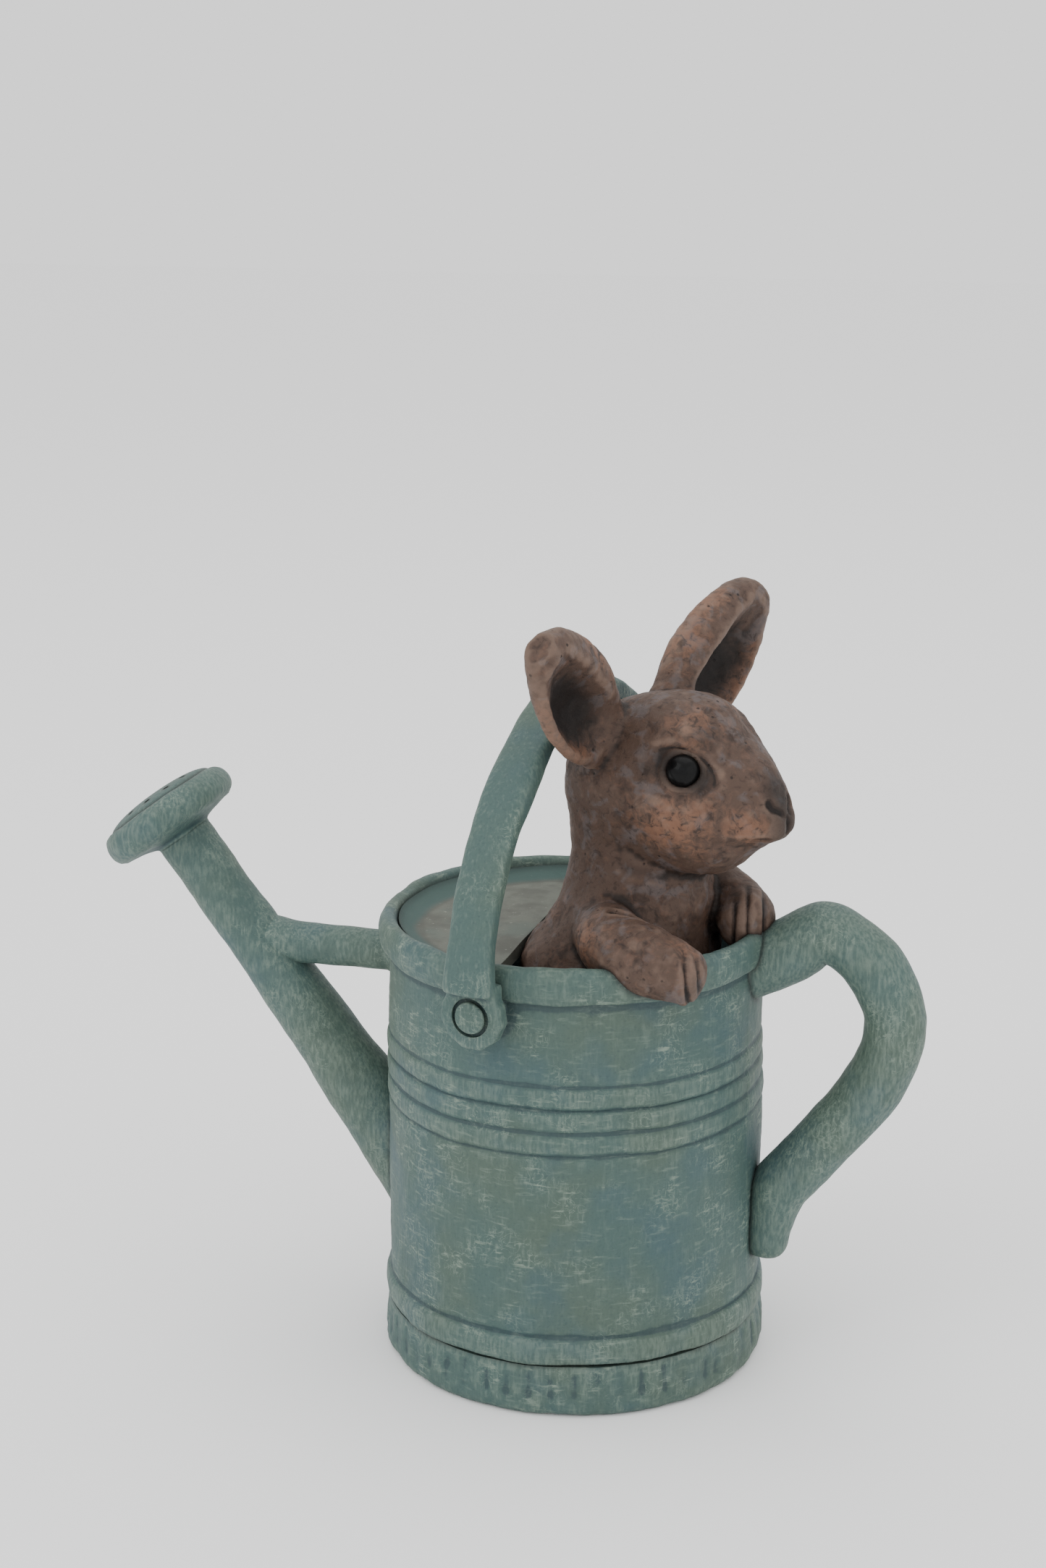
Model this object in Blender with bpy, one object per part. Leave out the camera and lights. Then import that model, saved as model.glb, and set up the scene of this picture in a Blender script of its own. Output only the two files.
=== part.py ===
"""Cast garden ornament: a young rabbit looking out of a watering can.

Units are metres and +Z is up. The origin is on the can's axis, on the face it stands on.
+X runs to the rear handle, -X to the spout and its rose, and the pivoting carrying
handle spans the can from -Y to +Y. The rabbit pieces are drawn in a frame of their own,
which is turned about the can's axis and sits at the height of the rim.
"""
from math import atan2, cos, pi, radians, sin, sqrt

import bmesh
import bpy
from mathutils import Vector

MM = 0.001

# ---- driving sizes -------------------------------------------------------------------
CAN_R = 36.0 * MM            # outside of the plain wall, half way up
CAN_HEIGHT = 87.5 * MM       # ground to the top of the rim
WALL = 2.2 * MM              # thickness of the drum's wall
WALL_TAPER = 0.35 * MM       # the wall is this much wider at the foot than half way up
GAP = 0.3 * MM               # clearance between two pieces that touch

FOOT_HEIGHT = 9.8 * MM       # fluted foot of the base pan
FOOT_BULGE = 0.9 * MM
FOOT_EDGE = 1.4 * MM         # rounding of the edge it stands on
FLOOR = 3.0 * MM
SPIGOT_WALL = 1.2 * MM       # ring of the pan that enters the drum
SPIGOT_HEIGHT = 3.2 * MM

BEAD_HEIGHT = 5.6 * MM       # plain bead above the foot
BEAD_BULGE = 1.0 * MM
RIB_DROP = 36.0 * MM         # rim to the lowest of four grooves, with three ribs between
RIB_PITCH = 4.45 * MM
RIB_COUNT = 3
RIB_RISE = 0.35 * MM
GROOVE = 0.35 * MM
RIM_HEIGHT = 7.1 * MM        # rolled bead round the mouth
RIM_BULGE = 1.9 * MM
LEDGE = 1.6 * MM             # shelf inside the mouth that carries the hood
LEDGE_RAMP = 2.0 * MM

HOOD_DEPTH = 3.5 * MM        # the hood lies this far below the rim
HOOD_THICKNESS = 2.5 * MM
HOOD_EDGE_X = -7.2 * MM      # straight edge behind the rabbit's back

SPOUT_ROOT_Z = 36.6 * MM
SPOUT_ROOT_R = 8.1 * MM
SPOUT_WAIST_R = 6.2 * MM     # half way along
SPOUT_NECK_R = 5.5 * MM      # under the rose
SPOUT_REACH = 44.2 * MM      # from the wall to the middle of the rose's back
SPOUT_RISE = 7.8 * MM        # height of that point above the rim
SPIGOT_R = 3.4 * MM          # locating spigots of spout and handle in the wall
SPIGOT_RUN = 2.0 * MM        # how far a spigot goes on into its own casting

ROSE_R = 14.1 * MM
ROSE_RIM = 5.0 * MM          # depth of the rounded rim
ROSE_CONE = 3.4 * MM         # from the neck to the rim
ROSE_LIP = 2.2 * MM          # rim left round the face
FACE_SEAT = 1.2 * MM
FACE_DOME = 3.0 * MM
PINHOLE_R = 0.5 * MM
PINHOLE_DEPTH = 1.3 * MM
PINHOLE_RINGS = ((0.0, 1), (4.4 * MM, 6), (8.6 * MM, 12))

BRACE_R = 4.0 * MM           # strut between spout and drum
BRACE_FLARE = 0.6 * MM
BRACE_DROP = 11.9 * MM       # its middle lies this far below the rim

HANDLE_R = 5.75 * MM         # round rear handle
HANDLE_REACH = 25.7 * MM     # wall to the middle of the tube at its widest
HANDLE_DROP = 7.0 * MM       # rim to the middle of its upper root
HANDLE_FOOT_Z = 26.0 * MM    # middle of its lower root
HANDLE_ROOT_R = 7.4 * MM
HANDLE_FOOT_R = 4.7 * MM

BAIL_TURN = radians(-12.0)   # the pivot line is set this far off square
BAIL_DROP = 9.0 * MM         # rim to pivot
STRAP_WIDTH = 8.8 * MM
STRAP_FOOT_WIDTH = 10.4 * MM  # just above the lugs
STRAP_FOOT_HEIGHT = 12.0 * MM
STRAP_THICKNESS = 4.9 * MM
STRAP_ROUND = 1.7 * MM
STRAP_SET = 1.1 * MM         # the strap's inner face stands this far out from the lug's
ARCH_POWER = 1.79            # 2 is an ellipse, less is more pointed
ARCH_START = 2.2 * MM        # the legs are straight up to here
ARCH_CLEARANCE = 0.4 * MM    # between the strap and the rim's bead
LUG_R = 5.9 * MM
LUG_THICKNESS = 3.2 * MM
LUG_STEP = 3.2 * MM          # pivot to the step where the strap begins
BOSS_R = 4.6 * MM
PIN_R = 1.5 * MM
PIN_HEAD_R = 3.0 * MM
PIN_HEAD_HEIGHT = 1.0 * MM
PIN_RECESS = 0.8 * MM
PIN_SOCKET_WALL = 0.9 * MM   # metal left behind the pin's blind socket

RABBIT_TURN = radians(-17.5)
NAPE = 40.9 * MM             # rim to the nape, where the arched strap passes behind the head
HEAD_LENGTH = 44.8 * MM
HEAD_BACK_X = 1.5 * MM
HEAD_HALF_WIDTH = 14.2 * MM
HEAD_HALF_HEIGHT = 17.2 * MM
HEAD_CENTRE_Z = 28.1 * MM
EAR_LENGTH = 31.0 * MM
EAR_WIDTH = 20.5 * MM
EAR_THICKNESS = 8.4 * MM
EAR_ROOT = (0.315, 0.754, 0.622)  # on the head, as the eyes below
EAR_ALONG = (0.086, 0.773, 0.629)
EAR_HOLLOW = 5.6 * MM
EAR_STAGGER = 4.0 * MM       # the right ear grows this much further back
EYE_R = 3.1 * MM
EYE_PLACE = (0.636, 0.859, 0.343)  # shares of the head's length, half width and half height
EYE_OUT = (0.40, 0.86, 0.30)
EYE_SUNK = 1.7 * MM          # centre of the ball below the cheek
ARM_R = 6.3 * MM
PAW_R = 5.6 * MM

DRUM_SIDES = 56
TUBE_SIDES = 16
BODY_SIDES = 24

# ---- sizes that follow ---------------------------------------------------------------
BORE_R = CAN_R - WALL
RIM_R = CAN_R + RIM_BULGE
PIVOT_Z = CAN_HEIGHT - BAIL_DROP
RIB_LOW = CAN_HEIGHT - RIB_DROP
LUG_INNER = RIM_R + ARCH_CLEARANCE
LUG_OUTER = LUG_INNER + LUG_THICKNESS
STRAP_INNER = LUG_INNER + STRAP_SET
ARCH_HALF = STRAP_INNER + STRAP_THICKNESS
ARCH_RISE = CAN_HEIGHT + NAPE + STRAP_THICKNESS - PIVOT_Z - ARCH_START


# ---- tools ---------------------------------------------------------------------------
def finish(bm, name, colour, roughness, parent=None, metallic=0.0):
    """Turn the mesh into a named object with its own material."""
    bmesh.ops.remove_doubles(bm, verts=bm.verts, dist=1e-7)
    bmesh.ops.recalc_face_normals(bm, faces=bm.faces)
    mesh = bpy.data.meshes.new(name)
    bm.to_mesh(mesh)
    bm.free()
    mesh.shade_smooth()
    mesh.set_sharp_from_angle(angle=radians(35))
    material = bpy.data.materials.new(name)
    material.use_nodes = True
    shader = material.node_tree.nodes["Principled BSDF"]
    shader.inputs["Base Color"].default_value = (*colour, 1.0)
    shader.inputs["Roughness"].default_value = roughness
    shader.inputs["Metallic"].default_value = metallic
    mesh.materials.append(material)
    piece = bpy.data.objects.new(name, mesh)
    bpy.context.collection.objects.link(piece)
    piece.parent = parent
    return piece


def as_cutter(piece):
    """A guide shape, which is no piece of the object."""
    piece.hide_render = True
    piece.display_type = "WIRE"
    return piece


def combine(piece, other, operation):
    """Cut another shape out of a piece, or join it on."""
    change = piece.modifiers.new(operation.lower() + "_" + other.name, "BOOLEAN")
    change.operation = operation
    change.object = other
    change.solver = "EXACT"


def turned(profile, sides):
    """Spin a closed outline of (radius, height) points about Z."""
    bm = bmesh.new()
    corners = [bm.verts.new((radius, 0.0, height)) for radius, height in profile]
    edges = [bm.edges.new((a, b)) for a, b in zip(corners, corners[1:] + corners[:1])]
    bmesh.ops.spin(
        bm, geom=corners + edges, cent=(0, 0, 0), axis=(0, 0, 1), angle=2 * pi, steps=sides, use_merge=True
    )
    bmesh.ops.remove_doubles(bm, verts=bm.verts, dist=1e-7)
    bmesh.ops.dissolve_degenerate(bm, edges=bm.edges, dist=1e-7)
    return bm


def skinned(stations, sides, power=2.0):
    """Extrude one closed section through (centre, half_u, half_v) stations."""
    bm = bmesh.new()
    turn = bm.verts.layers.float.new("turn")
    ring = bmesh.ops.create_circle(bm, cap_ends=True, segments=sides, radius=1.0)["verts"]
    for corner in ring:
        corner[turn] = atan2(corner.co.y, corner.co.x)
    section = ring[0].link_faces[0]

    def place(corners, station):
        centre, half_u, half_v = station
        for corner in corners:
            u = cos(corner[turn])
            v = sin(corner[turn])
            size = (abs(u) ** power + abs(v) ** power) ** (-1.0 / power)
            corner.co = centre + half_u * (u * size) + half_v * (v * size)

    place(section.verts, stations[0])
    for index, station in enumerate(stations[1:]):
        made = bmesh.ops.extrude_face_region(bm, geom=[section])["geom"]
        if index > 0:
            bmesh.ops.delete(bm, geom=[section], context="FACES_ONLY")
        section = next(item for item in made if isinstance(item, bmesh.types.BMFace))
        place(section.verts, station)
    return bm


def swept(points, radii, sides, across=Vector((0, 1, 0)), flat=1.0):
    """A tube through points in one plane; across is that plane's normal."""
    stations = []
    for index, (point, radius) in enumerate(zip(points, radii)):
        before = points[max(index - 1, 0)]
        after = points[min(index + 1, len(points) - 1)]
        along = (after - before).normalized()
        side = along.cross(across).normalized()
        stations.append((point, side * radius, side.cross(along) * radius * flat))
    return skinned(stations, sides)


def smooth_path(points, per_span):
    """Catmull-Rom curve through points, as a list of vectors."""
    ends = [points[0] * 2 - points[1]] + points + [points[-1] * 2 - points[-2]]
    path = []
    for a, b, c, d in zip(ends, ends[1:], ends[2:], ends[3:]):
        for step in range(per_span):
            t = step / per_span
            path.append(
                (b * 2 + (c - a) * t + (a * 2 - b * 5 + c * 4 - d) * t**2 + (b * 3 - a - c * 3 + d) * t**3) / 2
            )
    return path + [points[-1]]


def cylinder(start, along, radius, length, sides):
    """A plain round bar from a point along a direction."""
    bm = bmesh.new()
    made = bmesh.ops.create_cone(
        bm, cap_ends=True, segments=sides, radius1=radius, radius2=radius, depth=length
    )["verts"]
    turn = Vector((0, 0, 1)).rotation_difference(along).to_matrix()
    bmesh.ops.rotate(bm, verts=made, cent=(0, 0, 0), matrix=turn)
    bmesh.ops.translate(bm, verts=made, vec=Vector(start) + Vector(along) * (length / 2))
    return bm


def frame_at(name, height, turn):
    """An empty that carries the pieces drawn in its own frame."""
    empty = bpy.data.objects.new(name, None)
    bpy.context.collection.objects.link(empty)
    empty.location = (0, 0, height)
    empty.rotation_euler = (0, 0, turn)
    return empty


for old in list(bpy.data.objects):
    bpy.data.objects.remove(old, do_unlink=True)

TEAL = (0.13, 0.22, 0.215)
HOOD_GREY = (0.24, 0.26, 0.23)
BROWN = (0.16, 0.11, 0.09)
BLACK = (0.01, 0.01, 0.011)

bail_frame = frame_at("bail_pivot", PIVOT_Z, BAIL_TURN)
rabbit_frame = frame_at("rabbit_seat", CAN_HEIGHT, RABBIT_TURN)


# ---- base pan and drum ---------------------------------------------------------------
def base_pan():
    """Fluted foot and floor in one pan; a thin ring of it enters the drum."""
    foot_r = CAN_R + FOOT_BULGE
    spigot_r = BORE_R - GAP
    inner_r = spigot_r - SPIGOT_WALL
    outline = [(0, 0), (foot_r - FOOT_EDGE - 0.4 * MM, 0)]
    outline += [
        (foot_r - FOOT_EDGE * (1 - sin(a)), FOOT_EDGE * (1 - cos(a)))
        for a in (radians(45), radians(90))
    ]
    outline += [(foot_r + 0.2 * MM, FOOT_HEIGHT * 0.55), (foot_r - 0.2 * MM, FOOT_HEIGHT)]
    outline += [(spigot_r, FOOT_HEIGHT), (spigot_r, FOOT_HEIGHT + SPIGOT_HEIGHT)]
    outline += [(inner_r, FOOT_HEIGHT + SPIGOT_HEIGHT), (inner_r, FLOOR), (0, FLOOR)]
    return finish(turned(outline, DRUM_SIDES), "base_pan", TEAL, 0.75)


def wall_radius(height):
    """Outside of the plain wall, which tapers upwards."""
    half = CAN_HEIGHT / 2
    return CAN_R + WALL_TAPER * (half - height) / half


def outer_outline():
    """The drum's outside from its lower edge to the crest of the rim."""
    low = FOOT_HEIGHT + GAP
    bead_top = low + BEAD_HEIGHT
    rim_low = CAN_HEIGHT - RIM_HEIGHT
    outline = [
        (wall_radius(low) + BEAD_BULGE * 0.3, low),
        (wall_radius(low) + BEAD_BULGE, low + BEAD_HEIGHT * 0.3),
        (wall_radius(low) + BEAD_BULGE * 0.8, bead_top - BEAD_HEIGHT * 0.2),
        (wall_radius(bead_top) - GROOVE, bead_top),
        (wall_radius(bead_top), bead_top + GROOVE * 2),
    ]
    for index in range(RIB_COUNT + 1):
        groove = RIB_LOW + index * RIB_PITCH
        last = index == RIB_COUNT
        rise = 0.0 if last else RIB_RISE
        before = 0.0 if index == 0 else RIB_RISE
        outline += [
            (wall_radius(groove) + before, groove - GROOVE * 1.6),
            (wall_radius(groove) - GROOVE, groove),
            (wall_radius(groove) + rise, groove + GROOVE * 1.6),
        ]
    outline += [
        (wall_radius(rim_low), rim_low - GROOVE * 2),
        (wall_radius(rim_low) - GROOVE, rim_low),
        (wall_radius(rim_low) + RIM_BULGE * 0.55, rim_low + RIM_HEIGHT * 0.2),
        (RIM_R - RIM_BULGE * 0.1, rim_low + RIM_HEIGHT * 0.5),
        (RIM_R, rim_low + RIM_HEIGHT * 0.76),
        (RIM_R - RIM_BULGE * 0.35, CAN_HEIGHT - RIM_HEIGHT * 0.07),
    ]
    return outline


def drum():
    """Side wall with its beads and ribs, open below and above."""
    ledge_top = CAN_HEIGHT - HOOD_DEPTH - HOOD_THICKNESS - GAP
    outline = outer_outline()
    low = outline[0][1]
    outline += [
        (BORE_R + (RIM_R - BORE_R) * 0.45, CAN_HEIGHT),
        (BORE_R + 0.6 * MM, CAN_HEIGHT - 0.4 * MM),
        (BORE_R, CAN_HEIGHT - 1.4 * MM),
        (BORE_R, ledge_top),
        (BORE_R - LEDGE, ledge_top),
        (BORE_R, ledge_top - LEDGE_RAMP),
        (BORE_R, low),
    ]
    return finish(turned(outline, DRUM_SIDES), "can_body", TEAL, 0.75)


def wall_cutter():
    """The space of the drum and all inside it, with a gap, for what butts against it."""
    outline = [(radius + GAP, height) for radius, height in outer_outline()]
    crest = CAN_HEIGHT + GAP
    outline = [(0, outline[0][1] - GAP)] + outline + [(BORE_R + (RIM_R - BORE_R) * 0.45, crest), (0, crest)]
    return as_cutter(finish(turned(outline, DRUM_SIDES), "wall_cutter", TEAL, 0.75))


def mouth_cutter():
    """The drum's own section with a gap all round, for what leans over the rim."""
    inner = BORE_R - GAP
    ledge_top = CAN_HEIGHT - HOOD_DEPTH - HOOD_THICKNESS
    outline = [(radius + GAP, height) for radius, height in outer_outline()]
    crest = CAN_HEIGHT + GAP
    outline += [
        (BORE_R + (RIM_R - BORE_R) * 0.45, crest),
        (BORE_R + 0.3 * MM, crest),
        (inner, CAN_HEIGHT - 1.4 * MM),
        (inner, ledge_top),
        (inner - LEDGE, ledge_top),
        (inner - LEDGE, ledge_top - GAP * 3),
        (inner, ledge_top - GAP * 3 - LEDGE_RAMP),
        (inner, outline[0][1]),
    ]
    return as_cutter(finish(turned(outline, DRUM_SIDES), "mouth_cutter", TEAL, 0.75))


pan = base_pan()
can = drum()
around_can = wall_cutter()
around_wall = mouth_cutter()


# ---- hood over the front half of the mouth -------------------------------------------
def hood_plate(name, grow):
    """Part of a disc with a straight edge towards the rabbit's back."""
    top = CAN_HEIGHT - HOOD_DEPTH + grow
    bottom = CAN_HEIGHT - HOOD_DEPTH - HOOD_THICKNESS - grow
    radius = BORE_R - GAP + grow
    bm = turned([(0, bottom), (radius, bottom), (radius, top), (0, top)], DRUM_SIDES)
    cut = bmesh.ops.bisect_plane(
        bm,
        geom=bm.verts[:] + bm.edges[:] + bm.faces[:],
        plane_co=(HOOD_EDGE_X + grow, 0, 0),
        plane_no=(1, 0, 0),
        clear_outer=True,
    )["geom_cut"]
    bmesh.ops.edgeloop_fill(bm, edges=[item for item in cut if isinstance(item, bmesh.types.BMEdge)])
    return finish(bm, name, HOOD_GREY, 0.85)


hood = hood_plate("top_hood", 0.0)
around_hood = as_cutter(hood_plate("hood_cutter", GAP))


# ---- spout, rose and brace -----------------------------------------------------------
spout_root = Vector((-CAN_R, 0, SPOUT_ROOT_Z))
spout_end = Vector((-CAN_R - SPOUT_REACH, 0, CAN_HEIGHT + SPOUT_RISE))
spout_along = (spout_end - spout_root).normalized()
spout_length = (spout_end - spout_root).length


def spout_radius(share):
    """Quadratic taper from the root over the waist to the neck."""
    root = SPOUT_ROOT_R * (1 - share) * (1 - 2 * share)
    waist = 4 * SPOUT_WAIST_R * share * (1 - share)
    neck = SPOUT_NECK_R * share * (2 * share - 1)
    return root + waist + neck


def spout_shape(name, grow):
    """Straight tapered spout; its root runs on into the can to be cut to the wall."""
    shares = [-0.16, 0.0, 0.17, 0.34, 0.5, 0.67, 0.84, 1.0 - GAP / spout_length]
    points = [spout_root + spout_along * (share * spout_length) for share in shares]
    radii = [spout_radius(share) + grow for share in shares]
    return finish(swept(points, radii, TUBE_SIDES), name, TEAL, 0.75)


def spigot(name, start, along, length, radius):
    """Round stub that locates a casting in the drum's wall."""
    return as_cutter(finish(cylinder(start, along, radius, length, TUBE_SIDES), name, TEAL, 0.75))


def fit_to_wall(piece, name, height, side):
    """Trim a casting to the wall, leave a spigot on it and bore the wall for it."""
    combine(piece, around_can, "DIFFERENCE")
    radius = SPIGOT_R if piece.name != "spout_brace" else BRACE_R * 0.5
    start = Vector((side * (BORE_R + GAP), 0, height))
    length = WALL + SPIGOT_RUN
    stub = spigot(name + "_stub", start, Vector((side, 0, 0)), length, radius)
    combine(piece, stub, "UNION")
    start = Vector((side * (BORE_R - 1 * MM), 0, height))
    bore = spigot(name + "_bore", start, Vector((side, 0, 0)), length + SPIGOT_RUN, radius + GAP)
    combine(can, bore, "DIFFERENCE")


spout = spout_shape("spout", 0.0)
around_spout = as_cutter(spout_shape("spout_cutter", GAP))
fit_to_wall(spout, "spout", SPOUT_ROOT_Z, -1)


def along_spout(bm):
    """Stand a turned shape on the end of the spout."""
    turn = Vector((0, 0, 1)).rotation_difference(spout_along).to_matrix()
    bmesh.ops.rotate(bm, verts=bm.verts, cent=(0, 0, 0), matrix=turn)
    bmesh.ops.translate(bm, verts=bm.verts, vec=spout_end)
    return bm


def rose_head():
    """Cone and rounded rim, recessed for the perforated face."""
    rim_low = ROSE_CONE
    rim_top = ROSE_CONE + ROSE_RIM
    seat = rim_top - FACE_SEAT - GAP
    face_r = ROSE_R - ROSE_LIP
    outline = [
        (0, 0),
        (SPOUT_NECK_R + 0.2 * MM, 0),
        (SPOUT_NECK_R + 1.2 * MM, ROSE_CONE * 0.45),
        (ROSE_R * 0.86, rim_low),
        (ROSE_R * 0.97, rim_low + ROSE_RIM * 0.22),
        (ROSE_R, rim_low + ROSE_RIM * 0.55),
        (ROSE_R * 0.97, rim_top - ROSE_RIM * 0.12),
        (ROSE_R - ROSE_LIP * 0.55, rim_top),
        (face_r, rim_top - 0.2 * MM),
        (face_r, seat),
        (0, seat),
    ]
    return finish(along_spout(turned(outline, DRUM_SIDES // 2)), "rose_head", TEAL, 0.75)


def rose_face():
    """Domed face plate with rings of pinholes."""
    rim_top = ROSE_CONE + ROSE_RIM
    radius = ROSE_R - ROSE_LIP - GAP
    low = rim_top - FACE_SEAT
    outline = [(0, low), (radius, low), (radius, rim_top)]
    outline += [
        (radius * cos(a), rim_top + FACE_DOME * sin(a)) for a in (radians(22), radians(45), radians(68))
    ]
    outline.append((0, rim_top + FACE_DOME))
    face = finish(along_spout(turned(outline, DRUM_SIDES // 2)), "rose_face", TEAL, 0.75)
    holes = bmesh.new()
    for ring_r, count in PINHOLE_RINGS:
        for index in range(count):
            turn = 2 * pi * (index + 0.5) / count
            height = rim_top + FACE_DOME * sqrt(1 - (ring_r / radius) ** 2) - PINHOLE_DEPTH
            made = bmesh.ops.create_cone(
                holes, cap_ends=True, segments=6, radius1=PINHOLE_R, radius2=PINHOLE_R, depth=3 * PINHOLE_DEPTH
            )["verts"]
            place = (ring_r * cos(turn), ring_r * sin(turn), height + 1.5 * PINHOLE_DEPTH)
            bmesh.ops.translate(holes, verts=made, vec=place)
    drill = as_cutter(finish(along_spout(holes), "pinhole_drills", TEAL, 0.75))
    combine(face, drill, "DIFFERENCE")
    return face


def spout_brace():
    """Rounded strut, flared where it meets the spout and trimmed at both ends."""
    height = CAN_HEIGHT - BRACE_DROP
    share = (height - spout_root.z) / (spout_end.z - spout_root.z)
    spout_x = spout_root.x + (spout_end.x - spout_root.x) * share
    span = -CAN_R - spout_x
    shares = [0.0, 0.12, 0.25, 0.38, 0.7, 0.9, 1.15]
    points = [Vector((spout_x + span * share, 0, height)) for share in shares]
    flare = [BRACE_FLARE * 1.6, BRACE_FLARE * 1.5, BRACE_FLARE, 0.0, 0.0, 0.0, 0.0]
    radii = [BRACE_R + extra for extra in flare]
    brace = finish(swept(points, radii, TUBE_SIDES, flat=0.92), "spout_brace", TEAL, 0.75)
    combine(brace, around_spout, "DIFFERENCE")
    return brace


head_of_rose = rose_head()
rose_face()
brace = spout_brace()
fit_to_wall(brace, "brace", CAN_HEIGHT - BRACE_DROP, -1)


# ---- rear handle ---------------------------------------------------------------------
def handle_bar(name, grow):
    """Bent round bar from under the rim, out and back to a foot low on the wall."""
    top_z = CAN_HEIGHT - HANDLE_DROP
    drop = top_z - HANDLE_FOOT_Z

    def at(out, share):
        return Vector((CAN_R + HANDLE_REACH * out, 0, HANDLE_FOOT_Z + drop * share))

    route = [
        at(-0.18, 0.97), at(0.15, 1.035), at(0.47, 1.115), at(0.74, 1.055), at(0.92, 0.945),
        at(1.0, 0.82), at(0.94, 0.67), at(0.72, 0.49), at(0.42, 0.31), at(0.19, 0.175),
        at(0.1, 0.05), at(0.08, -0.02),
    ]
    points = smooth_path(route, 2)
    radii = []
    for index in range(len(points)):
        share = index / (len(points) - 1)
        radius = HANDLE_R + grow
        if share < 0.16:
            radius += (HANDLE_ROOT_R - HANDLE_R) * (1 - share / 0.16)
        if share > 0.8:
            radius += (HANDLE_FOOT_R - HANDLE_R) * (share - 0.8) / 0.2
        radii.append(radius)
    tip = points[-1]
    down = (points[-1] - points[-2]).normalized()
    for angle in (radians(35), radians(65)):
        points.append(tip + down * (HANDLE_FOOT_R * 0.8 * sin(angle)))
        radii.append(HANDLE_FOOT_R * cos(angle) + grow)
    return finish(swept(points, radii, TUBE_SIDES), name, TEAL, 0.75)


handle = handle_bar("rear_handle", 0.0)
around_handle = as_cutter(handle_bar("handle_cutter", GAP))
fit_to_wall(handle, "handle_top", CAN_HEIGHT - HANDLE_DROP, 1)
fit_to_wall(handle, "handle_foot", HANDLE_FOOT_Z + 4 * MM, 1)


# ---- carrying handle and its pivots --------------------------------------------------
def arch(half, rise, count):
    """Half an outline of the arch as (across, up), from the crown to the leg."""
    points = []
    for index in range(count + 1):
        angle = pi / 2 * index / count
        points.append((half * sin(angle) ** (2 / ARCH_POWER), ARCH_START + rise * cos(angle) ** (2 / ARCH_POWER)))
    return points


def bail_strap():
    """Flat rounded strap bent to an arch, with a thinner pivot lug on each leg."""
    bm = bmesh.new()
    outer = arch(ARCH_HALF, ARCH_RISE, 12)
    inner = arch(ARCH_HALF - STRAP_THICKNESS, ARCH_RISE - STRAP_THICKNESS, 12)
    leg = [(ARCH_HALF, LUG_STEP - 1.6 * MM), (LUG_OUTER, LUG_STEP - 2.2 * MM)]
    leg += [(LUG_OUTER, 0.0), (LUG_INNER, 0.0), (LUG_INNER, LUG_STEP + 1.2 * MM)]
    half = outer[:-1] + leg + inner[:-1][::-1]
    crown = inner[0]
    right = [point for point in half if point is not crown]
    left = [(-across, up) for across, up in right[::-1]]
    outline = right + [crown] + left[:-1]
    corners = [bm.verts.new((-STRAP_WIDTH / 2, across, up)) for across, up in outline]
    face = bm.faces.new(corners)
    moved = bmesh.ops.extrude_face_region(bm, geom=[face])["geom"]
    moved = [item for item in moved if isinstance(item, bmesh.types.BMVert)]
    bmesh.ops.translate(bm, verts=moved, vec=(STRAP_WIDTH, 0, 0))
    bmesh.ops.recalc_face_normals(bm, faces=bm.faces)
    long_edges = [edge for edge in bm.edges if edge.is_manifold and edge.calc_face_angle() > radians(60)]
    long_edges = [edge for edge in long_edges if min(v.co.z for v in edge.verts) > LUG_STEP]
    bmesh.ops.bevel(
        bm, geom=long_edges, offset=STRAP_ROUND, affect="EDGES", segments=2, profile=0.5, material=-1
    )
    for corner in bm.verts:
        share = min(max(1 - corner.co.z / STRAP_FOOT_HEIGHT, 0), 1)
        corner.co.x *= 1 + (STRAP_FOOT_WIDTH / STRAP_WIDTH - 1) * share
    return finish(bm, "bail_handle", TEAL, 0.75, bail_frame)


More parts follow.
